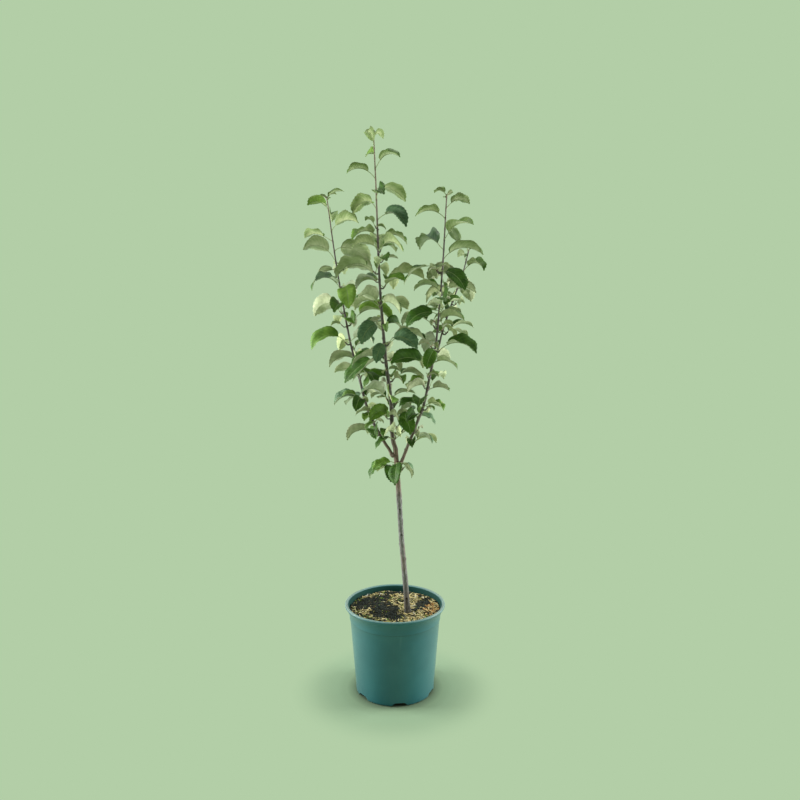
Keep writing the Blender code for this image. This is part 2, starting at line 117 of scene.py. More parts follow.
HANGING_SHARE = 0.14        # share of the leaves that hang from a limp stalk
TRIES = 9                   # turns that a leaf may take to find room
SWING = 24                  # degrees between those turns
WOOD_AIR = 0.0006           # air kept round a limb

# Spurs and shoots
SPUR_R = 0.0016
SPUR_LENGTH = 0.012
SPUR_OUT = 0.45             # share of a spur that stands out, before it turns up
SPUR_UP = 0.55
SPUR_STEP = 0.0028          # from one leaf to the next along a spur
SPUR_TIP = 0.0008           # from the spur's tip to its first leaf
SPUR_SIDES = 5
SPUR_TURN = 144             # degrees round a limb from one spur, or shoot leaf, to the next
SPUR_STRAY = 16             # degrees that a spur may stand off its own side
SMALLER = 0.11              # how much smaller each next leaf of a spur is, in threes
SHOOT_STEP = 0.026          # from one leaf to the next along a shoot
SHOOT_TAPER = (0.52, 1.4)   # how much smaller, and how late, leaves get towards a shoot's tip

# Each limb: the limb it joins, at what height and on which side (none: it goes on from the end),
# its route after the joint, the radii at its foot and last bud, where the bough ends and the leafy
# shoot goes on, how many spurs it carries between which shares of its length, leaves to its lowest
# and highest spur, the side that the first spur faces, the blade lengths low and high, and a seed.
LIMBS = {
    "leader": dict(
        joins=("trunk", None, None),
        route=((-0.0060, 0.0005, 0.6600), (-0.0100, 0.0000, 0.7520), (-0.0220, 0.0000, 0.8470),
               (-0.0370, 0.0000, 1.0380), (-0.0460, 0.0000, 1.2830), (-0.0510, 0.0000, 1.3940)),
        radii=(0.0056, 0.0014), shoot=0.72, spurs=12, span=(0.04, 0.69), leaves=(5, 3),
        faces=-50, blades=(0.074, 0.090), seed=214),
    "left_bough": dict(
        joins=("trunk", 0.6120, 172),
        route=((-0.0150, 0.0020, 0.6270), (-0.0260, 0.0040, 0.6430), (-0.0560, 0.0120, 0.6960),
               (-0.0740, 0.0240, 0.7400), (-0.0970, 0.0400, 0.8290), (-0.1190, 0.0540, 0.9170),
               (-0.1500, 0.0720, 1.0900), (-0.1740, 0.0820, 1.2620)),
        radii=(0.0042, 0.0015), shoot=0.74, spurs=10, span=(0.10, 0.71), leaves=(4, 3),
        faces=210, blades=(0.064, 0.096), seed=167),
    "right_bough": dict(
        joins=("trunk", 0.5890, -12),
        route=((0.0205, -0.0025, 0.6040), (0.0280, -0.0040, 0.6240), (0.0540, -0.0120, 0.6920),
               (0.0720, -0.0200, 0.7420), (0.0860, -0.0300, 0.8130), (0.1000, -0.0420, 0.8900),
               (0.1140, -0.0590, 1.0720), (0.1220, -0.0700, 1.2380)),
        radii=(0.0043, 0.0015), shoot=0.76, spurs=10, span=(0.11, 0.73), leaves=(4, 3),
        faces=-20, blades=(0.062, 0.092), seed=10),
    "right_side_shoot": dict(
        joins=("right_bough", 0.8660, 52),
        route=((0.1090, -0.0260, 0.8900), (0.1185, -0.0120, 0.9250), (0.1440, 0.0100, 0.9980),
               (0.1680, 0.0320, 1.0590), (0.1870, 0.0550, 1.1260)),
        radii=(0.0026, 0.0014), shoot=0.58, spurs=3, span=(0.20, 0.54), leaves=(4, 3),
        faces=0, blades=(0.070, 0.078), seed=316),
}
JOINT_STUB = 0.0035         # how far a bough stands straight out before it turns up
RING_STEP = 0.025           # between the rings of a limb that the room is tested with
BOUGH_SIDES = 8
# Spurs low on the trunk, at the fork: height, side faced, leaves, blade length.
TRUNK_SPURS = ((0.590, -94, 3, 0.066), (0.580, 165, 4, 0.060), (0.572, 12, 2, 0.042))
TRUNK_HANG = -1.1           # how much their leaves hang
TRUNK_SEED = 13

# Finer growth
TWIGLET_STEP = 0.034        # between twiglets along a limb
TWIGLET_TURN = 72           # degrees from the side of a limb's first spur to its first twiglet's
TWIGLET_STRAY = 30
TWIGLET_REACH = (0.3, 1.3)  # length past the bend, as a share of a spur's
TWIGLET_TAPER = (0.80, 0.62, 0.50)
TWIGLET_LEAVES = (1, 2, 2, 3)
TWIGLET_BLADES = (0.022, 0.044)
TWIGLET_SEED = 600
TIP_LEAVES = 3              # youngest leaves of each shoot
TIP_BLADE = 0.026           # the first one's blade
TIP_SMALLER = 0.006         # how much smaller each next blade is
TIP_STEP = 0.006            # share of the limb from one to the next
TIP_TURN = 200              # degrees from the side of a limb's first spur to its first tip leaf's
TIP_POSE = (66, 46, -14)    # lift, rise and droop, in degrees
BUD_STEP = 0.028            # between dormant buds along a limb
DETAIL_SEED = 900

# Bark
BARK_STEP = 0.0028          # between the rings of the bark's surface
TRUNK_SIDES = 44
LIMB_SIDES = 20
SINK = 0.0030               # how far a limb's bark starts inside its parent
# Scars of old side shoots on the trunk: height, side faced, radius. The first four show in front.
SCARS = ((0.475, -88, 0.0034), (0.410, -84, 0.0038), (0.348, -24, 0.0036), (0.250, -92, 0.0042),
         (0.300, 96, 0.0030), (0.386, 168, 0.0027), (0.446, 24, 0.0026), (0.546, 120, 0.0028))

# Camera, where the photograph's was
CAMERA_PLACE = (0.0129, -1.706, 0.922)
CAMERA_PITCH = 5.7          # degrees below level
CAMERA_LENS = 30.744


def paint(red, green, blue):
    """A linear colour from the eight-bit values that a screen shows."""
    shares = [value / 255 for value in (red, green, blue)]
    linear = [s / 12.92 if s <= 0.04045 else ((s + 0.055) / 1.055) ** 2.4 for s in shares]
    return (*linear, 1.0)


BACKDROP = paint(179, 206, 167)

# Small helpers


def unit(vector):
    return vector / np.linalg.norm(vector)


def heading(azimuth, elevation):
    """Unit vector at an azimuth from +X and an elevation, both in degrees."""
    turn, lift = math.radians(azimuth), math.radians(elevation)
    return np.array((math.cos(turn) * math.cos(lift), math.sin(turn) * math.cos(lift), math.sin(lift)))


def ease(value, low, high):
    """0 below low, 1 above high and a smooth step between."""
    t = min(1.0, max(0.0, (value - low) / (high - low)))
    return t * t * (3 - 2 * t)


def smooth_route(points, steps=12):
    """Points read from one smooth curve through a route's own points."""
    knots = [np.array(point, float) for point in points]
    knots = [2 * knots[0] - knots[1]] + knots + [2 * knots[-1] - knots[-2]]
    curve = []
    for a, b, c, d in zip(knots, knots[1:], knots[2:], knots[3:]):
        for step in range(steps):
            t = step / steps
            curve.append(0.5 * (2 * b + (c - a) * t + (2 * a - 5 * b + 4 * c - d) * t * t
                                + (3 * b - a - 3 * c + d) * t ** 3))
    curve.append(knots[-2])
    return np.array(curve)


# Growth: the source's rule


class Limb:
    """A route measured along its length, with the limb's radius at each share of it."""

    def __init__(self, route, radius_at, foot_run):
        self.curve = smooth_route(route)
        self.foot_run = foot_run
        steps = np.linalg.norm(np.diff(self.curve, axis=0), axis=1)
        self.marks = np.concatenate(((0.0,), np.cumsum(steps)))
        self.length = self.marks[-1]
        self.radius = radius_at

    def point(self, share):
        return np.array([np.interp(share * self.length, self.marks, self.curve[:, k]) for k in range(3)])

    def along(self, share):
        low, high = max(share - 0.01, 0.0), min(share + 0.01, 1.0)
        return unit(self.point(high) - self.point(low))

    def share_at(self, height):
        return np.interp(height, self.curve[:, 2], self.marks) / self.length

    def outward(self, share, azimuth):
        """The direction square to the limb that faces an azimuth."""
        run, out = self.along(share), heading(azimuth, 0)
        return unit(out - run * np.dot(out, run))


def branch(parent, height, azimuth, route, radius_at):
    """A limb that stands on another's side, or goes on from its end, just clear of it."""
    if height is None:
        run = parent.along(1.0)
        foot = parent.point(1.0) + run * CLEAR
        return Limb((foot,) + route, radius_at, run)
    share = parent.share_at(height)
    out = parent.outward(share, azimuth)
    foot = parent.point(share) + out * (parent.radius(share) + CLEAR)
    return Limb((foot, foot + out * JOINT_STUB) + route, radius_at, out)


def trunk_radius(share):
    height = share * (TRUNK_ROUTE[-1][2] - SOIL_LEVEL)
    flare = (TRUNK_FLARE_R - TRUNK_FOOT_R) * max(0.0, 1 - height / FLARE_HEIGHT) ** 2
    swell = UNION_SWELL * math.exp(-((height + SOIL_LEVEL - UNION_HEIGHT) / 0.020) ** 2)
    return TRUNK_FOOT_R + (TRUNK_TOP_R - TRUNK_FOOT_R) * share + flare + swell


def bough_radius(foot, tip):
    return lambda share: foot + (tip - foot) * share ** 0.8


def skin(rings):
    """Corners and faces of a plain closed surface, which the room is tested with."""
    verts, faces, starts = [], [], []
    for ring in rings:
        starts.append(len(verts))
        verts.extend(ring)
    for a, b, here, there in zip(starts, starts[1:], rings, rings[1:]):
        count = len(here)
        for k in range(count):
            after = (k + 1) % count
            if len(there) == 1:
                faces.append((a + k, a + after, b))
            else:
                faces.append((a + k, a + after, b + after, b + k))
    faces.append(tuple(reversed(range(len(rings[0])))))
    if len(rings[-1]) > 1:
        faces.append(tuple(range(starts[-1], starts[-1] + len(rings[-1]))))
    return verts, faces


def stem_frames(points):
    """For each point of a stem: the point, and two directions square to the stem there."""
    points = [np.array(point, float) for point in points]
    last = len(points) - 1
    side, frames = None, []
    for k, centre in enumerate(points):
        run = unit(points[min(k + 1, last)] - points[max(k - 1, 0)])
        if side is None:
            side = np.cross(run, (0.31, 0.95, 0.0))
        side = unit(side - run * np.dot(side, run))
        frames.append((centre, side, np.cross(run, side)))
    return frames


def solid_of(points, radii, sides):
    turns = [2 * math.pi * j / sides for j in range(sides)]
    rings = [[centre + radius * (math.cos(t) * side + math.sin(t) * other) for t in turns]
             for (centre, side, other), radius in zip(stem_frames(points), radii)]
    return BVHTree.FromPolygons(*skin(rings))


def blade_width(share):
    """Half width of the plain blade at a share of its length, as a share of the widest half."""
    return 2.26 * share ** 0.5 * (1 - share) ** 0.7


def leaf_spine(leaf):
    """The petiole's and the blade's middle line, in equal steps, with its direction at each."""
    steps_petiole, steps_blade = 6, 24
    lifts, lengths = [], []
    for k in range(steps_petiole):
        lifts.append(leaf["lift"] + (leaf["rise"] - leaf["lift"]) * (k + 0.5) / steps_petiole)
        lengths.append(leaf["petiole"] / steps_petiole)
    for k in range(steps_blade):
        share = (k + 0.5) / steps_blade
        lifts.append(leaf["rise"] + (leaf["droop"] - leaf["rise"]) * share ** 0.9)
        lengths.append(leaf["blade"] / steps_blade)
    points, runs = [leaf["root"]], []
    for k, (lift, length) in enumerate(zip(lifts, lengths)):
        azimuth = leaf["azimuth"] + leaf["sweep"] * k / len(lifts)
        runs.append(heading(azimuth, lift))
        points.append(points[-1] + runs[-1] * length)
    runs.append(runs[-1])
    return points, runs, steps_petiole


def leaf_frame(leaf, run, share):
    """The blade's side and upward directions at a share of its length."""
    azimuth = leaf["azimuth"] + leaf["sweep"] * (0.2 + 0.8 * share)
    side = heading(azimuth + 90, 0)
    side = unit(side - run * np.dot(side, run))
    up = np.cross(run, side)
    roll = math.radians(leaf["roll"])
    return side * math.cos(roll) + up * math.sin(roll), up * math.cos(roll) - side * math.sin(roll)


def leaf_rings(leaf, thick=BLADE_THICK, wider=0.0, from_blade=False):
    """Four-cornered rings from the petiole's root to the blade's tip."""
    points, runs, first = leaf_spine(leaf)
    steps = len(points) - 1 - first
    fold = math.radians(BLADE_FOLD)
    rings = []
    if not from_blade:
        for index in (0, first // 2):
            side, up = leaf_frame(leaf, runs[index], 0)
            r = PETIOLE_R + wider / 2
            here = points[index]
            rings.append([here + side * r, here + up * r, here - side * r, here - up * r])
    for share in BLADE_CUTS[:-1]:
        index = first + round(share * steps)
        side, up = leaf_frame(leaf, runs[index], share)
        half = BLADE_ASPECT / 2 * leaf["blade"] * blade_width(share) + wider
        half = max(half, PETIOLE_R * 1.3 + wider)
        lift = up * math.sin(fold) * (half if share else 0.0)
        half *= math.cos(fold)
        here = points[index]
        top, under = here + up * thick / 2, here - up * thick / 2
        rings.append([here + side * half + lift, top, here - side * half + lift, under])
    rings.append([points[-1]])
    return rings


def leaf_room(leaf):
    """The leaf's own surface and the surface of the air kept round its blade."""
    body = BVHTree.FromPolygons(*skin(leaf_rings(leaf)))
    air = BVHTree.FromPolygons(*skin(leaf_rings(leaf, AIR_THICK, AIR_WIDER, True)))
    return body, air


def find_room(leaf, wood, own, others):
    """Turns the leaf round its root until it is clear of all wood and leaves, or gives up."""
    for turn in range(TRIES):
        trial = dict(leaf)
        swing = SWING * ((turn + 1) // 2) * (-1) ** turn
        trial["azimuth"] = leaf["azimuth"] + swing
        body, air = leaf_room(trial)
        hits_wood = any(air.overlap(limb) for limb in wood.values())
        hits_wood |= any(body.overlap(limb) for name, limb in wood.items() if name != own)
        hits_leaf = any(air.overlap(other) or body.overlap(gap) for other, gap in others)
        if not hits_wood and not hits_leaf:
            trial["body"], trial["air"] = body, air
            return trial
    return None


def new_leaf(rng, root, azimuth, blade, upright=0.0):
    """One leaf's measures. Upright above zero stands up more, and below zero hangs."""
    hangs = 1.0 if rng.random() < HANGING_SHARE else 0.0
    return {
        "root": root,
        "azimuth": azimuth + rng.uniform(-TURN_SPREAD, TURN_SPREAD),
        "blade": blade * rng.uniform(*BLADE_SPREAD),
        "petiole": blade * PETIOLE_SHARE * rng.uniform(*PETIOLE_SPREAD),
        "lift": rng.uniform(*LIFT) + UPRIGHT[0] * upright,
        "rise": rng.uniform(*RISE) + UPRIGHT[1] * upright - LIMP[0] * hangs,
        "droop": max(STEEPEST, rng.uniform(*DROOP) + UPRIGHT[2] * upright - LIMP[1] * hangs),
        "sweep": rng.uniform(-SWEEP, SWEEP),
        "roll": rng.uniform(-ROLL, ROLL),
    }


def spur_stem(limb, share, azimuth):
    """Points of a short spur that stands out of a limb, clear of its bark, and turns up."""
    out = limb.outward(share, azimuth)
    start = limb.point(share) + out * (limb.radius(share) + CLEAR)
    bend = start + out * SPUR_LENGTH * SPUR_OUT
    end = bend + unit(out + np.array((0.0, 0.0, 1.1))) * SPUR_LENGTH * SPUR_UP
    return [start, bend, end], out


def grow_spur(limb, share, azimuth, count, blade, rng, upright=0.0):
    points, out = spur_stem(limb, share, azimuth)
    leaves = []
    for k in range(count):
        back = min(1.0, (SPUR_TIP + k * SPUR_STEP) / (SPUR_LENGTH * SPUR_UP))
        root = points[2] + (points[1] - points[2]) * back
        size = blade * (1.0 - SMALLER * (k % 3))
        leaves.append(new_leaf(rng, root, azimuth + DIVERGENCE * k, size, upright))
    radii = [SPUR_R * 1.15, SPUR_R, SPUR_R * 0.75]
    return {"kind": "spur", "points": points, "radii": radii, "out": out, "leaves": leaves}


def grow_shoot(limb, first_share, blade, azimuth, rng):
    """The leafy end of a limb, one leaf at each bud, smaller and more upright towards the tip."""
    start = first_share + CLEAR / limb.length
    cuts = np.linspace(start, 1.0, 7)
    points = [limb.point(share) for share in cuts]
    radii = [limb.radius(share) for share in cuts]
    count = int((1.0 - start) * limb.length / SHOOT_STEP)
    leaves = []
    for k in range(count + 1):
        share = start + (1.0 - start) * (k + 0.55) / (count + 0.75)
        youth = k / count
        size = blade * (1.0 - SHOOT_TAPER[0] * youth ** SHOOT_TAPER[1])
        root = limb.point(min(share, 0.998))
        leaves.append(new_leaf(rng, root, azimuth + SPUR_TURN * k, size, youth ** 2))
    return {"kind": "shoot", "points": points, "radii": radii, "start": start, "leaves": leaves}


def grow_limb(name, plan, limb):
    """Every mass on one limb, from its tip down."""
    masses = {}
    rng = random.Random(plan["seed"])
    low, high = plan["blades"]
    masses[f"{name}_tip_leaves"] = grow_shoot(limb, plan["shoot"], high, plan["faces"] + 30, rng)
    first, last = plan["span"]
    for k in reversed(range(plan["spurs"])):
        share = first + (last - first) * (k + rng.uniform(-0.2, 0.2)) / max(1, plan["spurs"] - 1)
        blade = low + (high - low) * min(1.0, 1.5 * k / plan["spurs"])
        azimuth = plan["faces"] + SPUR_TURN * k + rng.uniform(-SPUR_STRAY, SPUR_STRAY)
        few, many = plan["leaves"][1], plan["leaves"][0]
        count = round(many + (few - many) * k / max(1, plan["spurs"] - 1))
        spur = grow_spur(limb, share, azimuth, count, blade, rng)
        masses[f"{name}_leaves_{k + 1:02d}"] = spur
    return masses


def grow_trunk_spurs(limb):
    masses = {}
    rng = random.Random(TRUNK_SEED)
    for k, (height, azimuth, count, blade) in enumerate(TRUNK_SPURS):
        share = limb.share_at(height)
        spur = grow_spur(limb, share, azimuth, count, blade, rng, TRUNK_HANG)
        masses[f"fork_leaves_{k + 1:02d}"] = spur
    return masses


def grow_tree(limbs):
    """All masses, with the leaves that found room, and the wood and leaves that they kept clear of."""
    masses = {}
    for name, plan in LIMBS.items():
        masses.update(grow_limb(name, plan, limbs[name]))
    masses.update(grow_trunk_spurs(limbs["trunk"]))
    wood = {}
    for name, limb in limbs.items():
        end = LIMBS[name]["shoot"] if name in LIMBS else 1.0
        cuts = np.linspace(0.0, end, 4 + int(limb.length * end / RING_STEP))
        radii = [limb.radius(cut) + WOOD_AIR for cut in cuts]
        wood[name] = solid_of([limb.point(cut) for cut in cuts], radii, BOUGH_SIDES)
    for name, mass in masses.items():
        wood[name] = solid_of(mass["points"], mass["radii"], SPUR_SIDES)
    placed = []
    for name, mass in masses.items():
        kept = []
        for leaf in mass["leaves"]:
            found = find_room(leaf, wood, name, placed)
            if found:
                kept.append(found)
                placed.append((found["body"], found["air"]))
        mass["leaves"] = kept
    return masses, wood, placed


# Growth: finer twigs in the space that is left


def grow_twiglets(limbs, wood, placed):
    """Short twigs between the spurs, each with a few small leaves, wherever there is room."""
    found = {}
    for name, plan in LIMBS.items():
        rng = random.Random(TWIGLET_SEED + plan["seed"])
        limb, first, last = limbs[name], plan["span"][0], plan["shoot"]
        count = int((last - first) * limb.length / TWIGLET_STEP)
        for k in range(count):
            share = first + (last - first) * (k + rng.uniform(0.1, 0.9)) / count
            azimuth = plan["faces"] + TWIGLET_TURN + SPUR_TURN * k
            azimuth += rng.uniform(-TWIGLET_STRAY, TWIGLET_STRAY)
            points, out = spur_stem(limb, share, azimuth)
            points[2] = points[1] + (points[2] - points[1]) * rng.uniform(*TWIGLET_REACH)
            radii = [SPUR_R * taper for taper in TWIGLET_TAPER]
            own = f"{name}_twiglet_{k + 1:02d}"
            stem = solid_of(points, radii, SPUR_SIDES)
            if any(stem.overlap(gap) for _, gap in placed):
                continue
            leaves = []
            for number in range(rng.choice(TWIGLET_LEAVES)):
                root = points[2] + (points[1] - points[2]) * 0.3 * number
                size = rng.uniform(*TWIGLET_BLADES)
                leaf = new_leaf(rng, root, azimuth + DIVERGENCE * number, size, rng.uniform(-0.2, 0.6))
                kept = find_room(leaf, wood, own, placed)
                if kept:
                    kept["young"] = True
                    leaves.append(kept)
                    placed.append((kept["body"], kept["air"]))
            if leaves:
                wood[own] = stem
                found[own] = {"kind": "spur", "points": points, "radii": radii, "out": out,
                              "leaves": leaves}
    return found


def grow_tips(limbs):
    """The youngest leaves, half folded round the last bud of each shoot."""
    found = {}
    for name, plan in LIMBS.items():
        rng = random.Random(TWIGLET_SEED + 50 + plan["seed"])
        limb = limbs[name]
        leaves = []
        for k in range(TIP_LEAVES):
            root = limb.point(1.0 - TIP_STEP * k)
            azimuth = plan["faces"] + TIP_TURN + DIVERGENCE * k
            leaf = new_leaf(rng, root, azimuth, TIP_BLADE - TIP_SMALLER * k, 1.0)
            leaf["lift"], leaf["rise"], leaf["droop"] = TIP_POSE
            leaf["young"] = True
            leaves.append(leaf)
        found[f"{name}_tip"] = {"kind": "tip", "leaves": leaves}
    return found


# Shapes that are stamped many times, each made once


def finished_mesh(name, work):
    mesh = bpy.data.meshes.new(name)
    work.to_mesh(mesh)
    work.free()
    return mesh


def unit_sleeve(sides, rings):
    """A closed unit tube cut into rings along its length, to be bent along a stem."""
    work = bmesh.new()
    bmesh.ops.create_cone(work, cap_ends=True, segments=sides, radius1=1.0, radius2=1.0, depth=1.0)
    rails = [edge for edge in work.edges if abs(edge.verts[0].co.z - edge.verts[1].co.z) > 0.5]
    bmesh.ops.subdivide_edges(work, edges=rails, cuts=rings - 1)
    return finished_mesh(f"unit_sleeve_{sides}_{rings}", work)


SLEEVES = {}


def stamp(work, template):
    """Adds a copy of a template and returns its own corners and faces."""
    verts_before, faces_before = len(work.verts), len(work.faces)
    work.from_mesh(template)
    work.verts.ensure_lookup_table()
    work.faces.ensure_lookup_table()
    return work.verts[verts_before:], work.faces[faces_before:]


def bend_sleeve(work, points, radii, sides, relief=None, shade=0):
    """Stamps a sleeve bent along a stem. Relief moves its surface in or out."""
    key = (sides, len(points) - 1)
    if key not in SLEEVES:
        SLEEVES[key] = unit_sleeve(*key)
    verts, faces = stamp(work, SLEEVES[key])
    frames = stem_frames(points)
    last = len(points) - 1
    for vert in verts:
        ring = round((vert.co.z + 0.5) * last)
        turn = math.atan2(vert.co.y, vert.co.x)
        centre, side, other = frames[ring]
        out = math.cos(turn) * side + math.sin(turn) * other
        radius = radii[ring]
        if relief:
            radius += relief(centre + out * radius, ring)
        vert.co = Vector(centre + out * radius)
    for face in faces:
        face.material_index = shade
    return verts, faces


def unit_blade(stations, columns):
    """A flat grid whose far end is one point, with a map of shares across and along."""
    work = bmesh.new()
    chart = work.loops.layers.uv.new("UVMap")
    bmesh.ops.create_grid(work, x_segments=len(columns) - 1, y_segments=stations, size=0.5)
    across = sorted({round(vert.co.x, 4) for vert in work.verts})
    for vert in work.verts:
        vert.co.x = columns[across.index(round(vert.co.x, 4))] / 2
    for face in work.faces:
        face.material_index = 1 if abs(face.calc_center_median().x) < 0.001 else 0
        for loop in face.loops:
            loop[chart].uv = (loop.vert.co.x + 0.5, loop.vert.co.y + 0.5)
    tip = [vert for vert in work.verts if vert.co.y > 0.4999]
    bmesh.ops.pointmerge(work, verts=tip, merge_co=(0.0, 0.5, 0.0))
    return finished_mesh(f"unit_blade_{stations}", work)


def unit_pebble():
    """A rough lump of 20 faces."""
    work = bmesh.new()
    bmesh.ops.create_icosphere(work, subdivisions=1, radius=1.0)
    return finished_mesh("unit_pebble", work)


def unit_bud():
    """A pointed oval, standing on its wide end."""
    work = bmesh.new()
    bmesh.ops.create_uvsphere(work, u_segments=8, v_segments=6, radius=1.0)
    for vert in work.verts:
        taper = 1.0 - 0.45 * ease(vert.co.z, -0.1, 1.0)
        vert.co = Vector((vert.co.x * taper, vert.co.y * taper, vert.co.z + 0.8))
    return finished_mesh("unit_bud", work)


# Materials


def set_range(node, *numbers):
    """The range that a Map Range node reads and the one that it gives."""
    for name, number in zip(("From Min", "From Max", "To Min", "To Max"), numbers):
        node.inputs[name].default_value = number


class Finish:
    """A material's nodes, with short calls that add and join them. Patterns read Object coordinates."""

    def __init__(self, name, roughness, specular=0.5):
        self.material = bpy.data.materials.new(name)
        self.material.use_nodes = True
        self.tree = self.material.node_tree
        self.shader = self.tree.nodes["Principled BSDF"]
        self.shader.inputs["Roughness"].default_value = roughness
        self.shader.inputs["Specular IOR Level"].default_value = specular
        self.coordinates = self.tree.nodes.new("ShaderNodeTexCoord")
        self.place = self.coordinates.outputs["Object"]

    def join(self, value, socket):
        if isinstance(value, bpy.types.NodeSocket):
            self.tree.links.new(value, socket)
        else:
            socket.default_value = value

    def stretched(self, x, y, z):
        """Object coordinates scaled on each axis, for a grain that runs one way."""
        made = self.tree.nodes.new("ShaderNodeMapping")
        made.inputs["Scale"].default_value = (x, y, z)
        self.join(self.place, made.inputs["Vector"])
        return made.outputs["Vector"]

    def noise(self, scale, detail=3.0, roughness=0.5, place=None):
        made = self.tree.nodes.new("ShaderNodeTexNoise")
        made.inputs["Scale"].default_value = scale
        made.inputs["Detail"].default_value = detail
        made.inputs["Roughness"].default_value = roughness
        self.join(place or self.place, made.inputs["Vector"])
        return made.outputs["Fac"]

    def cells(self, scale, feature="F1", place=None):
        made = self.tree.nodes.new("ShaderNodeTexVoronoi")
        made.feature = feature
        made.inputs["Scale"].default_value = scale
        self.join(place or self.place, made.inputs["Vector"])
        return made.outputs["Distance"]

    def sums(self, operation, a, b=0.0):
        made = self.tree.nodes.new("ShaderNodeMath")
        made.operation = operation
        self.join(a, made.inputs[0])
        self.join(b, made.inputs[1])
        return made.outputs["Value"]

    def times(self, a, b):
        return self.sums("MULTIPLY", a, b)

    def between(self, value, low, high, out_low=0.0, out_high=1.0):
        """A value eased from one range to another and held at its ends."""
        made = self.tree.nodes.new("ShaderNodeMapRange")
        made.interpolation_type = "SMOOTHSTEP"
        self.join(value, made.inputs["Value"])
        set_range(made, low, high, out_low, out_high)
        return made.outputs["Result"]

    def mix(self, share, a, b):
        """Two colours mixed by a share. A colour is a socket or the eight-bit values of a screen."""
        made = self.tree.nodes.new("ShaderNodeMix")
        made.data_type = "RGBA"
        self.join(share, made.inputs[0])
        for number, value in ((6, a), (7, b)):
            self.join(paint(*value) if isinstance(value, tuple) else value, made.inputs[number])
        return made.outputs[2]

    def blend(self, value, low, high, a, b, least=0.0, most=1.0):
        """Two colours mixed by a value eased from one range to another."""
        return self.mix(self.between(value, low, high, least, most), a, b)

    def length(self, vector):
        made = self.tree.nodes.new("ShaderNodeVectorMath")
        made.operation = "LENGTH"
        self.join(vector, made.inputs[0])
        return made.outputs["Value"]

    def axis(self, name, place=None):
        made = self.tree.nodes.new("ShaderNodeSeparateXYZ")
        self.join(place or self.place, made.inputs["Vector"])
        return made.outputs[name]

    def colour(self, value):
        self.join(value, self.shader.inputs["Base Color"])

    def gloss(self, value):
        self.join(value, self.shader.inputs["Roughness"])

    def bump(self, height, distance, strength=1.0):
        made = self.tree.nodes.new("ShaderNodeBump")
        made.inputs["Strength"].default_value = strength
        made.inputs["Distance"].default_value = distance
        self.join(height, made.inputs["Height"])
        self.join(made.outputs["Normal"], self.shader.inputs["Normal"])


def pot_plastic():
    """Satin teal, clouded and scuffed, with a painted reflection that makes it paler to the sides, a
    painted highlight on the lip, and painted shade under the collar's step, inside the rim and in the
    notches.
    """
    finish = Finish("teal_pot_plastic", 0.42, 0.45)
    finish.shader.inputs["Coat Roughness"].default_value = 0.26
    cloud = finish.noise(9.0, 3.0)
    streaks = finish.noise(60.0, 4.0, 0.6, finish.stretched(1.0, 1.0, 0.06))
    dust = finish.noise(240.0, 3.0, 0.7)
    height = finish.axis("Z")
    reach = finish.length(finish.stretched(1.0, 1.0, 0.0))
    out_to_side = finish.sums("ABSOLUTE", finish.axis("X"))
    teal = finish.blend(cloud, 0.35, 0.65, (34, 98, 103), (44, 107, 111))
    # painted reflection: the plastic turns paler grey towards the left and right sides
    painted_side_reflection = finish.blend(out_to_side, 0.030, 0.120, teal, (154, 152, 142), most=0.12)
    scuffed = finish.blend(streaks, 0.60, 0.84, painted_side_reflection, (112, 156, 152), most=0.22)
    # painted shade: a darker band just under the collar's step
    shade_under_step = finish.times(finish.between(height, COLLAR_FOOT - 0.0030, COLLAR_FOOT - 0.0012),
                              finish.between(height, COLLAR_FOOT - 0.0008, COLLAR_FOOT, 0.40, 0.0))
    shaded = finish.mix(shade_under_step, scuffed, (20, 56, 54))
    # painted shade: the inner wall above the soil is darker, with less coat and specular
    inside = finish.times(finish.between(height, SOIL_LEVEL - 0.0032, SOIL_LEVEL - 0.0027, 0.0, 0.9),
                          finish.between(reach, POT_RIM_R - 0.0086, POT_RIM_R - 0.0081, 1.0, 0.0))
    inner_shade = finish.mix(inside, shaded, (24, 60, 48))
    for name, on_outside, on_inside in (("Coat Weight", 0.20, 0.0), ("Specular IOR Level", 0.45, 0.10)):
        finish.join(finish.between(inside, 0.0, 0.2, on_outside, on_inside), finish.shader.inputs[name])
    # painted shade: the cut faces inside the drainage notches are near black
    in_notch = finish.times(finish.between(height, NOTCH_HEIGHT, NOTCH_HEIGHT + 0.0008, 1.0, 0.0),
                            finish.between(reach, POT_FOOT_R - 0.0052, POT_FOOT_R - 0.0032, 1.0, 0.0))
    notch_shade = finish.mix(in_notch, inner_shade, (14, 24, 22))
    # painted highlight: a pale line along the top of the lip, stronger to the sides
    lip_highlight = finish.times(finish.between(out_to_side, 0.040, 0.120, 0.30, 0.46),
                        finish.between(height, POT_HEIGHT - 0.0024, POT_HEIGHT - 0.0004))
    finish.colour(finish.mix(lip_highlight, notch_shade, (158, 176, 150)))
    on_lip = finish.between(height, POT_HEIGHT - 0.0060, POT_HEIGHT - 0.0030, 0.0, 0.25)
    dull = finish.sums("MAXIMUM", finish.times(inside, 0.45), on_lip)
    finish.gloss(finish.sums("ADD", finish.between(dust, 0.3, 0.75, 0.28, 0.42), dull))
    finish.bump(finish.sums("ADD", streaks, finish.times(dust, 0.35)), 0.00012, 0.5)
    return finish.material


def peat():
    finish = Finish("dark_peat", 0.95, 0.2)
    lumps = finish.noise(180.0, 6.0, 0.7)
    patches = finish.noise(26.0, 3.0)
    dark = finish.blend(lumps, 0.35, 0.70, (30, 32, 22), (70, 66, 42))
    finish.colour(finish.blend(patches, 0.50, 0.66, dark, (96, 88, 52), most=0.65))
    finish.bump(finish.sums("ADD", lumps, finish.cells(320.0)), 0.0012)
    return finish.material


def bit_of_soil(name, light, shadow):
    finish = Finish(name, 0.9, 0.25)
    grain = finish.noise(420.0, 3.0, 0.6)
    finish.colour(finish.blend(grain, 0.35, 0.65, shadow, light))
    finish.bump(grain, 0.0003)
    return finish.material


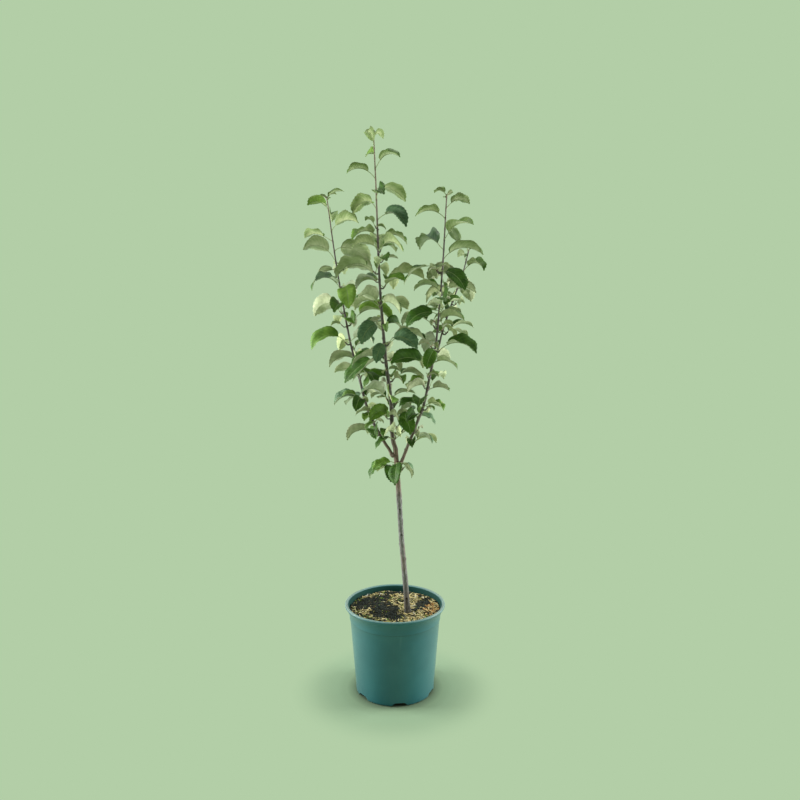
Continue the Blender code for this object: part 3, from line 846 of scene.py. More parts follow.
def trunk_bark():
    """Grey-brown bark with a fine lengthwise grain, pale pores and a redder, rougher fork."""
    finish = Finish("trunk_bark", 0.80, 0.3)
    grain = finish.noise(420.0, 5.0, 0.62, finish.stretched(1.0, 1.0, 0.16))
    blotches = finish.noise(46.0, 4.0, 0.6, finish.stretched(1.0, 1.0, 0.45))
    pores = finish.cells(230.0, "F1", finish.stretched(1.0, 1.0, 1.6))
    height = finish.axis("Z")
    grey = finish.blend(grain, 0.36, 0.66, (86, 83, 77), (142, 141, 136))
    pink = finish.blend(blotches, 0.48, 0.68, grey, (128, 110, 98), most=0.65)
    rough = finish.blend(grain, 0.38, 0.62, (86, 64, 50), (138, 112, 92))
    fork = finish.blend(height, 0.490, 0.545, pink, rough, most=0.80)
    foot = finish.blend(height, 0.225, 0.330, fork, (60, 57, 44), 0.72, 0.0)
    finish.colour(finish.blend(pores, 0.10, 0.20, foot, (170, 160, 140), 0.55, 0.0))
    finish.bump(finish.sums("SUBTRACT", grain, finish.between(pores, 0.08, 0.24, -0.35, 0.0)), 0.0007)
    return finish.material


def bough_bark():
    """Dark smooth young bark, redder at the fork and paler green-brown on the shoots."""
    finish = Finish("bough_bark", 0.58, 0.4)
    grain = finish.noise(520.0, 4.0, 0.6, finish.stretched(1.0, 1.0, 0.22))
    film = finish.noise(60.0, 3.0, 0.6, finish.stretched(1.0, 1.0, 0.5))
    pores = finish.cells(310.0, "F1", finish.stretched(1.0, 1.0, 1.5))
    height = finish.axis("Z")
    dark = finish.blend(grain, 0.36, 0.66, (62, 55, 48), (98, 90, 80))
    silver = finish.blend(film, 0.50, 0.70, dark, (126, 120, 110), most=0.55)
    fork = finish.blend(height, 0.620, 0.700, silver, (120, 98, 80), 0.60, 0.0)
    young = finish.blend(height, 1.080, 1.280, fork, (142, 130, 104), most=0.65)
    finish.colour(finish.blend(pores, 0.07, 0.15, young, (176, 166, 142), 0.60, 0.0))
    finish.bump(finish.sums("SUBTRACT", grain, finish.between(pores, 0.06, 0.18, -0.4, 0.0)), 0.0004)
    return finish.material


def plain_wood(name, light, shadow, roughness=0.7):
    finish = Finish(name, roughness, 0.35)
    grain = finish.noise(600.0, 3.0, 0.6, finish.stretched(1.0, 1.0, 0.4))
    finish.colour(finish.blend(grain, 0.38, 0.64, shadow, light))
    finish.bump(grain, 0.0002)
    return finish.material


VEIN_PAIRS = 9.0
LEAF_SHEEN = (0.88, 1.0, 0.66, 1.0)  # the tint of light thrown back by the upper side's wax
PALE_VEINS = (1.25, 14)     # how much lighter veins are than the upper side: times, and plus


def from_midrib(finish):
    """0 on the midrib and 1 at the margin."""
    across = finish.axis("X", finish.coordinates.outputs["UV"])
    return finish.times(finish.sums("ABSOLUTE", finish.sums("SUBTRACT", across, 0.5)), 2.0)


def vein_mask(finish):
    """1 along the side veins, which run forward from the midrib to the margin."""
    along = finish.axis("Y", finish.coordinates.outputs["UV"])
    lean = finish.times(from_midrib(finish), 2.1)
    phase = finish.sums("SUBTRACT", finish.times(along, VEIN_PAIRS), lean)
    wave = finish.sums("ABSOLUTE", finish.sums("SUBTRACT", finish.sums("FRACT", phase), 0.5))
    return finish.between(wave, 0.015, 0.090, 1.0, 0.0)


def leaf_upper(name, shade, light, roughness, relief):
    """The upper side: leathery, slightly glossy, with sunk veins."""
    finish = Finish(name, roughness, 0.28)
    finish.shader.inputs["Specular Tint"].default_value = LEAF_SHEEN
    mottle = finish.noise(70.0, 3.0, 0.55)
    green = finish.blend(mottle, 0.34, 0.66, shade, light)
    veins = vein_mask(finish)
    pale = tuple(min(255, channel * PALE_VEINS[0] + PALE_VEINS[1]) for channel in light)
    finish.colour(finish.mix(finish.times(veins, 0.30), green, pale))
    net = finish.cells(620.0, "DISTANCE_TO_EDGE")
    pucker = finish.sums("ADD", finish.times(veins, -1.0), finish.times(net, 0.7))
    finish.bump(pucker, 0.0005, 0.7 * relief)
    return finish.material


def leaf_under(name, shade, light, relief):
    """The underside: pale, dull and downy, greener to the margin and near the top, with raised veins."""
    finish = Finish(name, 0.78, 0.25)
    mottle = finish.noise(90.0, 3.0, 0.55)
    grey = finish.blend(mottle, 0.34, 0.66, shade, light)
    high = finish.between(finish.axis("Z"), 1.02, 1.20, 0.06, 0.88)
    bare = finish.times(finish.between(from_midrib(finish), 0.05, 0.65, 0.25, 1.0), high)
    green = finish.mix(bare, grey, (104, 128, 58))
    veins = vein_mask(finish)
    finish.colour(finish.mix(finish.times(veins, 0.35), green, (194, 196, 162)))
    net = finish.cells(560.0, "DISTANCE_TO_EDGE")
    finish.bump(finish.sums("SUBTRACT", veins, finish.times(net, 0.35)), 0.0004, 0.5 * relief)
    finish.shader.inputs["Sheen Weight"].default_value = 0.18
    finish.shader.inputs["Sheen Roughness"].default_value = 0.5
    return finish.material


# Each tint of leaf: the upper side's shade and light and its roughness, and the underside's.
LEAF_TINTS = {
    "dark": ((41, 76, 15), (59, 98, 21), 0.48, (158, 167, 126), (182, 189, 146)),
    "deep": ((56, 93, 19), (76, 115, 29), 0.50, (160, 171, 124), (184, 193, 146)),
    "mid": ((78, 114, 34), (100, 136, 44), 0.52, (164, 175, 120), (188, 195, 142)),
    "bluish": ((64, 96, 64), (90, 122, 82), 0.42, (158, 169, 137), (180, 189, 157)),
    "fresh": ((97, 133, 43), (118, 152, 57), 0.52, (166, 177, 118), (186, 195, 140)),
    "young": ((122, 142, 84), (146, 162, 104), 0.58, (156, 162, 128), (178, 182, 150)),
    "tender": ((78, 110, 46), (100, 130, 60), 0.56, (140, 152, 106), (160, 170, 124)),
}
TINT_NAMES = list(LEAF_TINTS)
YOUNG_TINTS = ("young", "tender")
YOUNG_RELIEF = 0.3          # the veins of small young leaves barely stand out
RIB_UPPER = (128, 150, 88)
RIB_UNDER = (170, 182, 142)


def leaf_materials():
    """Pairs of upper side and underside for each tint, and last the pair for the rib."""
    made = []
    for name, (shade, light, roughness, under_shade, under_light) in LEAF_TINTS.items():
        relief = YOUNG_RELIEF if name in YOUNG_TINTS else 1.0
        made.append(leaf_upper(f"leaf_{name}_upper", shade, light, roughness, relief))
        made.append(leaf_under(f"leaf_{name}_under", under_shade, under_light, relief))
    made.append(plain_wood("leaf_rib_upper", RIB_UPPER, (104, 130, 70), 0.5))
    made.append(plain_wood("leaf_rib_under", RIB_UNDER, (150, 164, 122), 0.6))
    return made


# Pieces


def show_piece(name, work, materials, nodes=()):
    """Makes a piece of the finished mesh, which stands for the given solids."""
    mesh = finished_mesh(name, work)
    for material in materials:
        mesh.materials.append(material)
    mesh.shade_smooth()
    piece = bpy.data.objects.new(name, mesh)
    bpy.context.scene.collection.objects.link(piece)
    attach(piece, "root")
    if nodes:
        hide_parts(*nodes)
    return piece


def arc(centre, radius, first, last, count):
    """Points on an arc in a profile, angles in degrees from outwards."""
    turns = [math.radians(first + (last - first) * k / (count - 1)) for k in range(count)]
    return [(centre[0] + radius * math.cos(t), centre[1] + radius * math.sin(t)) for t in turns]


def pot_profile():
    """From the underside's middle out, up the wall, over the rolled lip and down inside."""
    foot_fillet = arc((POT_FOOT_R - FOOT_EDGE_IN, FOOT_EDGE_IN), FOOT_EDGE_R, -90, 0, 6)
    body = []
    for k in range(9):
        share = k / 8
        radius = POT_FOOT_R + (POT_BODY_TOP_R - POT_FOOT_R) * share
        body.append((radius, WALL_FOOT + (COLLAR_FOOT - 0.0016 - WALL_FOOT) * share))
    step = [(POT_BODY_TOP_R + 0.0002, COLLAR_FOOT - 0.0012),
            (POT_BODY_TOP_R + COLLAR_STEP, COLLAR_FOOT - 0.0006),
            (POT_BODY_TOP_R + COLLAR_STEP + 0.0003, COLLAR_FOOT + 0.0004)]
    collar = []
    flare = POT_RIM_R - 0.0034 - step[-1][0]
    for k in range(1, 11):
        share = k / 10
        rise = COLLAR_FOOT + 0.0004 + (POT_HEIGHT - 0.0098 - COLLAR_FOOT) * share
        collar.append((step[-1][0] + flare * share ** COLLAR_FLARE, rise))
    lip = arc((POT_RIM_R - LIP_R, POT_HEIGHT - LIP_R), LIP_R, -62, 100, 10)
    inner_top = POT_BODY_TOP_R + 0.0027
    shoulder = [(POT_RIM_R - 0.0065, POT_HEIGHT - 0.0006), (inner_top + 0.0028, POT_HEIGHT - 0.0022),
                (inner_top + 0.0012, POT_HEIGHT - 0.0048), (inner_top, SOIL_LEVEL - 0.0010)]
    inside = [(POT_BODY_TOP_R - POT_WALL, COLLAR_FOOT - 0.0015), (POT_FOOT_R - POT_WALL, WALL_FOOT),
              (POT_FOOT_R - 0.0040, POT_FLOOR), (0.0, POT_FLOOR)]
    underside = [(0.0, 0.0), (POT_FOOT_R * 0.5, 0.0)]
    return underside + foot_fillet + body + step + collar + lip + shoulder + inside


def spin_profile(work, profile, sides):
    """Turns a profile round the Z axis into a closed body with its faces outwards."""
    line = [work.verts.new((radius, 0.0, height)) for radius, height in profile]
    edges = [work.edges.new(pair) for pair in zip(line, line[1:])]
    bmesh.ops.spin(work, geom=line + edges, cent=(0, 0, 0), axis=(0, 0, 1), angle=math.tau,
                   steps=sides, use_merge=True)
    bmesh.ops.remove_doubles(work, verts=work.verts, dist=0.00001)
    bmesh.ops.recalc_face_normals(work, faces=work.faces)


def notch_cutters():
    """Tapered blocks with rounded upper corners, wider at the ground, across the pot's foot."""
    work = bmesh.new()
    for number in range(NOTCHES):
        made = bmesh.ops.create_cube(work, size=1.0)["verts"]
        for vert in made:
            top = vert.co.z > 0
            half = NOTCH_WIDTH / 2 - NOTCH_TOP_IN if top else NOTCH_WIDTH / 2 + NOTCH_UNDER
            vert.co = Vector((POT_FOOT_R + vert.co.x * NOTCH_REACH, math.copysign(half, vert.co.y),
                              NOTCH_HEIGHT if top else -NOTCH_UNDER))
        upper = [edge for edge in work.edges if all(vert in made for vert in edge.verts)
                 and all(vert.co.z > 0 for vert in edge.verts)
                 and abs(edge.verts[0].co.x - edge.verts[1].co.x) > NOTCH_REACH / 2]
        rounded = bmesh.ops.bevel(work, geom=upper, offset=NOTCH_CORNER, affect="EDGES", segments=5,
                                  profile=0.5, material=-1)
        turn = math.radians(NOTCH_TURN + 360 / NOTCHES * number)
        block = {vert for vert in made if vert.is_valid} | set(rounded["verts"])
        for vert in block:
            x, y = vert.co.x, vert.co.y
            vert.co.x = x * math.cos(turn) - y * math.sin(turn)
            vert.co.y = x * math.sin(turn) + y * math.cos(turn)
    return work


def cut_with(work, cutters):
    """Cuts one body with others and returns the result."""
    holder = bpy.data.objects.new("holder", finished_mesh("holder", work))
    blade = bpy.data.objects.new("cutters", finished_mesh("cutters", cutters))
    for made in (holder, blade):
        bpy.context.scene.collection.objects.link(made)
    cut = holder.modifiers.new("cut", "BOOLEAN")
    cut.operation = "DIFFERENCE"
    cut.solver = "EXACT"
    cut.object = blade
    result = bmesh.new()
    result.from_object(holder, bpy.context.evaluated_depsgraph_get())
    for made in (holder, blade):
        bpy.data.objects.remove(made)
    return result


def make_pot():
    work = bmesh.new()
    spin_profile(work, pot_profile(), POT_SIDES)
    work = cut_with(work, notch_cutters())
    piece = show_piece("pot_shell", work, [pot_plastic()], ["pot"])
    piece.data.set_sharp_from_angle(angle=math.radians(38))
    return piece


# Where the soil's colours lie: middle, half sizes and turn in degrees of each patch.
DARK_PATCHES = (((-0.028, -0.014), (0.040, 0.056), 10), ((-0.062, 0.040), (0.062, 0.030), 46),
                ((0.070, 0.020), (0.054, 0.015), 66), ((0.004, 0.098), (0.050, 0.010), 0),
                ((0.000, -0.058), (0.026, 0.018), 0))
MOSSY_PATCHES = (((-0.042, -0.078), (0.062, 0.038), -12), ((-0.006, 0.052), (0.024, 0.026), 0),
                 ((-0.104, 0.000), (0.024, 0.070), 0))
RUSSET_PATCHES = (((0.095, -0.006), (0.022, 0.052), -10),)
BITS = 4200
BIT_SEED = 71


def in_patch(x, y, patches):
    """How deep a place lies inside any of the patches: 1 at a middle and 0 outside."""
    deepest = 0.0
    for (px, py), (half_x, half_y), turn in patches:
        t = math.radians(turn)
        across = ((x - px) * math.cos(t) + (y - py) * math.sin(t)) / half_x
        along = (-(x - px) * math.sin(t) + (y - py) * math.cos(t)) / half_y
        deepest = max(deepest, 1.0 - math.hypot(across, along))
    return deepest


def soil_height(x, y):
    """The soil's surface: the solid's broad hollows, with crumbs on them."""
    waves = math.sin(61 * x + 1.0) * math.cos(53 * y) + 0.6 * math.sin(97 * y + 47 * x + 2.0)
    away = math.hypot(x - TRUNK_FOOT[0], y - TRUNK_FOOT[1])
    fade = min(1.0, max(0.0, (away - 0.030) / 0.030))
    crumbs = noise.fractal(Vector((x * 150, y * 150, 0.7)), 0.8, 2.1, 4)
    return SOIL_LEVEL - SOIL_HOLLOWS * fade * (0.5 + waves / 3.2) + SOIL_RELIEF * 0.6 * crumbs


def make_soil():
    top = [(SOIL_TOP_R * (1 - k / 52), SOIL_LEVEL) for k in range(53)]
    side = [(0.0, POT_FLOOR + CLEAR), (POT_FOOT_R - 0.0046, POT_FLOOR + CLEAR),
            (POT_FOOT_R - POT_WALL - 0.0008, 0.0130),
            (POT_BODY_TOP_R - POT_WALL - 0.0008, COLLAR_FOOT - 0.0020), (SOIL_TOP_R, SOIL_LEVEL - 0.0060)]
    work = bmesh.new()
    spin_profile(work, side + top, 132)
    for vert in work.verts:
        if vert.co.z > SOIL_LEVEL - 0.001:
            vert.co.z = soil_height(vert.co.x, vert.co.y)
    return show_piece("soil_surface", work, [peat()], ["soil"])


def pick(rng, choices):
    """One name from pairs of name and weight."""
    names, weights = zip(*choices)
    return rng.choices(names, weights)[0]


SOIL_COLOURS = {
    "straw": ((230, 219, 167), (196, 183, 126)),
    "tan": ((198, 181, 122), (160, 142, 88)),
    "olive": ((150, 144, 78), (112, 108, 58)),
    "brown": ((98, 82, 52), (62, 54, 34)),
    "charcoal": ((52, 59, 50), (25, 30, 24)),
    "russet": ((208, 166, 104), (166, 122, 68)),
    "white": ((240, 240, 228), (214, 214, 198)),
    "moss": ((124, 150, 56), (82, 110, 38)),
}
SOIL_NAMES = list(SOIL_COLOURS)
FIBRE_SHARES = {"straw": 0.78, "tan": 0.65, "russet": 0.55, "olive": 0.45}
BIT_SIZES = (0.0009, 0.0024)
CHARCOAL_LARGER = 1.3
FIBRE_LENGTHS = (0.005, 0.017)
FIBRE_RADII = (0.0004, 0.0012)
FIBRE_CUTS = (-0.5, -0.25, 0.0, 0.25, 0.5)
FIBRE_TAPER = (0.5, 1.0, 1.0, 1.0, 0.4)
CRUMB_STRETCH = ((0.7, 1.5), (0.7, 1.3), (0.45, 0.9))
PATCH_EDGE = 0.06           # how deep a place must lie in a patch to take its colours
PATCH_RAGGED = 0.22         # how ragged the patches' edges are
# How often each colour turns up on each kind of patch.
ON_DARK = (("charcoal", 89), ("brown", 6), ("olive", 2), ("tan", 1), ("moss", 2))
ON_MOSS = (("moss", 22), ("charcoal", 30), ("brown", 16), ("olive", 14), ("straw", 10), ("tan", 8))
ON_RUSSET = (("russet", 52), ("tan", 24), ("straw", 16), ("brown", 8))
ELSEWHERE = (("straw", 30), ("tan", 19), ("olive", 12), ("brown", 14), ("charcoal", 15), ("white", 4),
             ("moss", 6))
PATCH_MIXES = ((DARK_PATCHES, ON_DARK), (MOSSY_PATCHES, ON_MOSS), (RUSSET_PATCHES, ON_RUSSET))


def make_soil_bits():
    """Crumbs, fibres and chips strewn over the soil, each kind in its own piece."""
    rng = random.Random(BIT_SEED)
    pebble = unit_pebble()
    crumbs, fibres = bmesh.new(), bmesh.new()
    for _ in range(BITS):
        reach, turn = SOIL_TOP_R * 0.985 * math.sqrt(rng.random()), rng.uniform(0, math.tau)
        x, y = reach * math.cos(turn), reach * math.sin(turn)
        ragged = PATCH_RAGGED * noise.noise(Vector((x * 70, y * 70, 3.0)))
        mixes = [mix for patches, mix in PATCH_MIXES if in_patch(x, y, patches) + ragged > PATCH_EDGE]
        kind = pick(rng, mixes[0] if mixes else ELSEWHERE)
        shade = SOIL_NAMES.index(kind)
        is_fibre = rng.random() < FIBRE_SHARES.get(kind, 0.20)
        size = rng.uniform(*BIT_SIZES) * (CHARCOAL_LARGER if kind == "charcoal" else 1.0)
        if math.hypot(x - TRUNK_FOOT[0], y - TRUNK_FOOT[1]) < TRUNK_FLARE_R + size:
            continue
        if reach + 0.009 > SOIL_TOP_R:
            is_fibre = False
        ground = soil_height(x, y)
        if is_fibre:
            length, thick = rng.uniform(*FIBRE_LENGTHS), rng.uniform(*FIBRE_RADII)
            lean = heading(rng.uniform(0, 360), rng.uniform(-8, 16))
            curl = np.array((-lean[1], lean[0], 0.3)) * rng.uniform(-0.5, 0.5)
            middle = np.array((x, y, ground + thick + rng.uniform(0.0, 0.0022)))
            points = [middle + lean * length * t + curl * length * (t * t - 0.1) * 2
                      for t in FIBRE_CUTS]
            bend_sleeve(fibres, points, [thick * taper for taper in FIBRE_TAPER], 4, None, shade)
        else:
            verts, faces = stamp(crumbs, pebble)
            stretch = [rng.uniform(*limits) for limits in CRUMB_STRETCH]
            spin = rng.uniform(0, math.tau)
            jolt = rng.uniform(0, 50)
            for vert in verts:
                rough = 1 + 0.35 * noise.noise(vert.co * 1.7 + Vector((jolt, 0, 0)))
                px, py, pz = (vert.co[k] * stretch[k] * size * rough for k in range(3))
                vert.co = Vector((x + px * math.cos(spin) - py * math.sin(spin),
                                  y + px * math.sin(spin) + py * math.cos(spin), ground + size * 0.25 + pz))
            for face in faces:
                face.material_index = shade
    materials = [bit_of_soil(f"soil_{name}", *SOIL_COLOURS[name]) for name in SOIL_NAMES]
    piece = show_piece("soil_crumbs", crumbs, materials)
    piece.data.set_sharp_from_angle(angle=math.radians(30))
    show_piece("soil_fibres", fibres, materials)


# Wood


def limb_stations(limb, end):
    """Points and radii every bark step, from inside the parent to the end of the bough."""
    count = int(limb.length * end / BARK_STEP)
    shares = [end * k / count for k in range(count + 1)]
    points = [limb.point(share) for share in shares]
    radii = [limb.radius(share) for share in shares]
    return shares, points, radii


def grain_relief(fine, coarse, salt):
    """How far the bark stands out at a point of its surface: long low ridges and small crumbs."""
    def relief(point, _ring):
        x, y, z = point
        ridges = noise.noise(Vector((x * 260, y * 260, z * 34 + salt)))
        crumbs = noise.noise(Vector((x * 900, y * 900, z * 420 + salt)))
        return coarse * ridges + fine * crumbs
    return relief


def trunk_relief(limb):
    """The trunk's bark: ridges that grow rough at the fork, lips round the scars, roots at the foot."""
    plain = grain_relief(0.00010, 0.00022, 0.0)
    scars = []
    for height, azimuth, radius in SCARS:
        share = limb.share_at(height)
        scars.append((limb.point(share) + limb.outward(share, azimuth) * limb.radius(share), radius))

    def relief(point, ring):
        x, y, z = point
        rough = ease(z, 0.49, 0.55)
        flakes = 0.00050 * rough * noise.noise(Vector((x * 420, y * 420, z * 130)))
        lips = 0.0
        for middle, radius in scars:
            away = np.linalg.norm(point - middle) / radius
            lips += 0.0011 * math.exp(-(away - 0.9) ** 2 * 3.0) - 0.0004 * math.exp(-away ** 2 * 6)
        turn = math.atan2(y - TRUNK_FOOT[1], x - TRUNK_FOOT[0])
        roots = 0.0013 * math.cos(3 * turn + 0.6) * (1 - ease(z, SOIL_LEVEL, SOIL_LEVEL + 0.030))
        return plain(point, ring) + flakes + lips + roots
    return relief, scars


def make_trunk(limb, bark, dark_wood):
    _, points, radii = limb_stations(limb, 1.0)
    relief, scars = trunk_relief(limb)
    work = bmesh.new()
    bend_sleeve(work, points, radii, TRUNK_SIDES, relief)
    show_piece("trunk_bark", work, [bark], ["trunk"])
    knots = bmesh.new()
    for middle, radius in scars:
        share = limb.share_at(middle[2])
        out = Vector(unit(middle - limb.point(share)))
        made = bmesh.ops.create_uvsphere(knots, u_segments=14, v_segments=8, radius=1.0)["verts"]
        facing = Vector((0, 0, 1)).rotation_difference(out)
        for vert in made:
            rings = 1 + 0.12 * math.cos(9 * math.hypot(vert.co.x, vert.co.y))
            flat = Vector((vert.co.x * radius * 0.62, vert.co.y * radius * 0.80,
                           vert.co.z * 0.0010 * rings))
            vert.co = Vector(middle) + facing @ flat
    show_piece("trunk_knots", knots, [dark_wood])


def bud_scars(limb, end, rng):
    """Shares along a limb where a small ring of bark stands out under a bud."""
    count = int(limb.length * end / BUD_STEP)
    return [end * (k + rng.uniform(0.3, 0.7)) / count for k in range(count)]


def make_bark(name, limb, plan, bark):
    end = plan["shoot"]
    rng = random.Random(DETAIL_SEED + plan["seed"])
    shares, points, radii = limb_stations(limb, end)
    nodes = bud_scars(limb, end, rng)
    grain = grain_relief(0.00005, 0.00014, plan["seed"])
    collar = limb.radius(0.0) * (0.10 if plan["joins"][1] is None else 0.55)
    for k, share in enumerate(shares):
        run = share * limb.length
        radii[k] += collar * math.exp(-(run / 0.0075) ** 2)
        for node in nodes:
            radii[k] += 0.00042 * math.exp(-(((share - node) * limb.length) / 0.0026) ** 2)
    points.insert(0, points[0] - limb.foot_run * SINK)
    radii.insert(0, radii[0])
    work = bmesh.new()
    bend_sleeve(work, points, radii, LIMB_SIDES, grain)
    show_piece(f"{name}_bark", work, [bark], [name])
    return nodes


def add_bud(work, template, root, out, length, shade=0):
    """One pointed bud on the bark, leaning out and up."""
    verts, faces = stamp(work, template)
    facing = Vector((0, 0, 1)).rotation_difference(Vector(unit(out)))
    for vert in verts:
        vert.co = Vector(root) + facing @ Vector((vert.co.x * length * 0.30, vert.co.y * length * 0.30,
                                                  vert.co.z * length * 0.55))
    for face in faces:
        face.material_index = shade


def spur_wood(work, mass):
    """A spur's or twiglet's stem: sunk in the bark, ringed with old scale scars."""
    points = [mass["points"][0] - mass["out"] * 0.0022] + list(mass["points"])
    route = smooth_route(points, 4)
    foot, tip = mass["radii"][0], mass["radii"][-1]
    radii = []
    for k in range(len(route)):
        share = k / (len(route) - 1)
        ring = 1 + 0.13 * math.cos(k * math.pi)
        flare = foot * 0.5 * math.exp(-(share / 0.22) ** 2)
        radii.append((foot * 1.25 + (tip - foot) * share + flare) * ring)
    bend_sleeve(work, list(route), radii, 8)


def shoot_wood(work, limb, mass):
    """A leafy shoot's stem, a little thicker under each leaf."""
    start = mass["start"]
    count = int((1 - start) * limb.length / 0.0035)
    shares = [start - 0.004 + (1.0 - start + 0.004) * k / count for k in range(count + 1)]
    nodes = [leaf["root"] for leaf in mass["leaves"]]
    points, radii = [], []
    for share in shares:
        point = limb.point(share)
        swell = sum(0.00045 * math.exp(-(np.linalg.norm(point - node) / 0.0030) ** 2) for node in nodes)
        points.append(point)
        radii.append(limb.radius(share) + swell)
    bend_sleeve(work, points, radii, 10, grain_relief(0.00003, 0.00008, 5.0))


# Leaves


def blade_outline(share):
    """Half width of the true blade: the plain one, drawn out to a short point at the tip."""
    return blade_width(share) * (1.0 - 0.55 * ease(share, 0.80, 1.0))


BLADE_COLUMNS = (-1.0, -0.52, -0.035, 0.035, 0.52, 1.0)
LEAF_STATIONS = 24
YOUNG_STATIONS = 12
FOLD_AT_FOOT = (30, 50)     # degrees that each half rises from the midrib
FOLD_AT_TIP = (0.45, 0.95)  # the fold at the tip, as a share of that
HANGS_BELOW = 14            # a blade that rises less than this many degrees is limp
LIMP_FOLD = 0.4             # share of the fold that a limp blade has
YOUNG_FOLD = 10             # degrees that a young blade folds more
WAVES = (1.2, 2.8)          # waves along each margin
WAVE_HEIGHT = (0.05, 0.17)  # as a share of the blade's half width
TOOTH = 0.0008              # height of a tooth, and less on small blades
TOOTH_SHARE = 0.012
TOOTH_LEAN = 1.6            # how far a tooth leans forward, over its height
FULL_STALK = 0.050          # blades shorter than this have thinner stalks
STALK_CUTS = (0, 1, 2, 3, 4, 5, 6, 9, 12, 15, 18, 21, 24, 27)
BLADE_WALL = 0.00036        # thickness of the true blades
LOW_MIX = (("dark", 38), ("deep", 32), ("mid", 18), ("bluish", 8), ("fresh", 4))
HIGH_MIX = (("dark", 14), ("deep", 30), ("mid", 32), ("bluish", 11), ("fresh", 13))
YOUNG_MIX = (("young", 7), ("tender", 8))
# How often all the leaves of a spur are darker or fresher than their height gives.
SPRAYS = ((-1, 1), (0, 3), (1, 1))
SPRAY_SHIFT = 0.25
# Lengths of the buds on a spur, at a shoot leaf's foot, on a shoot's end and on a bough.
SPUR_BUD = 0.0048
LEAF_BUD = 0.0036
LAST_BUD = 0.0050
RESTING_BUD = 0.0034


def add_leaf(blades, ribs, templates, leaf, rng):
    """One leaf: a folded, arched blade with a toothed margin, and its petiole and midrib below."""
    young = leaf.get("young", False)
    stations = YOUNG_STATIONS if young else LEAF_STATIONS
    points, runs, first = leaf_spine(leaf)
    steps = len(points) - 1 - first
    frames = [leaf_frame(leaf, runs[first + k], k / steps) for k in range(steps + 1)]
    share_kept = LIMP_FOLD if leaf["rise"] < HANGS_BELOW else 1.0
    fold_foot = math.radians(rng.uniform(*FOLD_AT_FOOT) * share_kept + (YOUNG_FOLD if young else 0))
    fold_tip = fold_foot * rng.uniform(*FOLD_AT_TIP)
    waves = rng.uniform(*WAVES)
    swing = (rng.uniform(0, math.tau), rng.uniform(0, math.tau))
    height = rng.uniform(*WAVE_HEIGHT)
    tooth = min(TOOTH, leaf["blade"] * TOOTH_SHARE)
    widest = BLADE_ASPECT / 2 * leaf["blade"]
    verts, faces = stamp(blades, templates[stations])
    for vert in verts:
        share = vert.co.y + 0.5
        across = -vert.co.x * 2
        index = round(share * steps)
        side, up = frames[index]
        here = points[first + index]
        half = max(widest * blade_outline(share), PETIOLE_R * 1.2 if share < 0.5 else 0.0)
        away = abs(across)
        fold = fold_foot + (fold_tip - fold_foot) * share
        reach = half * away * math.cos(fold)
        lift = half * math.sin(fold) * (1.32 * away - 0.32 * away * away)
        wave = swing[0] if across > 0 else swing[1]
        ripple = math.sin(math.tau * waves * share + wave)
        lift += half * height * away * away * ripple * ease(share, 0.0, 0.2)
        forward = 0.0
        if away > 0.99 and 0.08 < share < 0.97:
            odd = round(share * stations) % 2
            reach += tooth if odd else -tooth
            forward = tooth * TOOTH_LEAN if odd else 0.0
        reach = math.copysign(reach, across)
        vert.co = Vector(here + reach * side + up * lift + runs[first + index] * forward)
    tint = leaf["tint"]
    for face in faces:
        face.material_index = 2 * len(TINT_NAMES) if face.material_index else 2 * tint
    thin = min(1.0, leaf["blade"] / FULL_STALK)
    stem, radii = [], []
    for index in STALK_CUTS:
        share = max(0.0, (index - first) / steps)
        radius = PETIOLE_R * (0.70 + 0.30 * thin) * (1.0 - 0.80 * share)
        radius *= 1.0 + 0.5 * math.exp(-index / 0.8)
        below = frames[max(0, index - first)][1] * radius * (0.75 if index >= first else 0.0)
        stem.append(points[index] - below)
        radii.append(radius)
    bend_sleeve(ribs, stem, radii, 5, None, 0 if tint != TINT_NAMES.index("young") else 1)


def deal_tint(rng, leaf, high):
    """Which tint a leaf takes: darker low and fresher towards the tips."""
    if leaf.get("young"):
        return TINT_NAMES.index(pick(rng, YOUNG_MIX))
    return TINT_NAMES.index(pick(rng, HIGH_MIX if rng.random() < high else LOW_MIX))


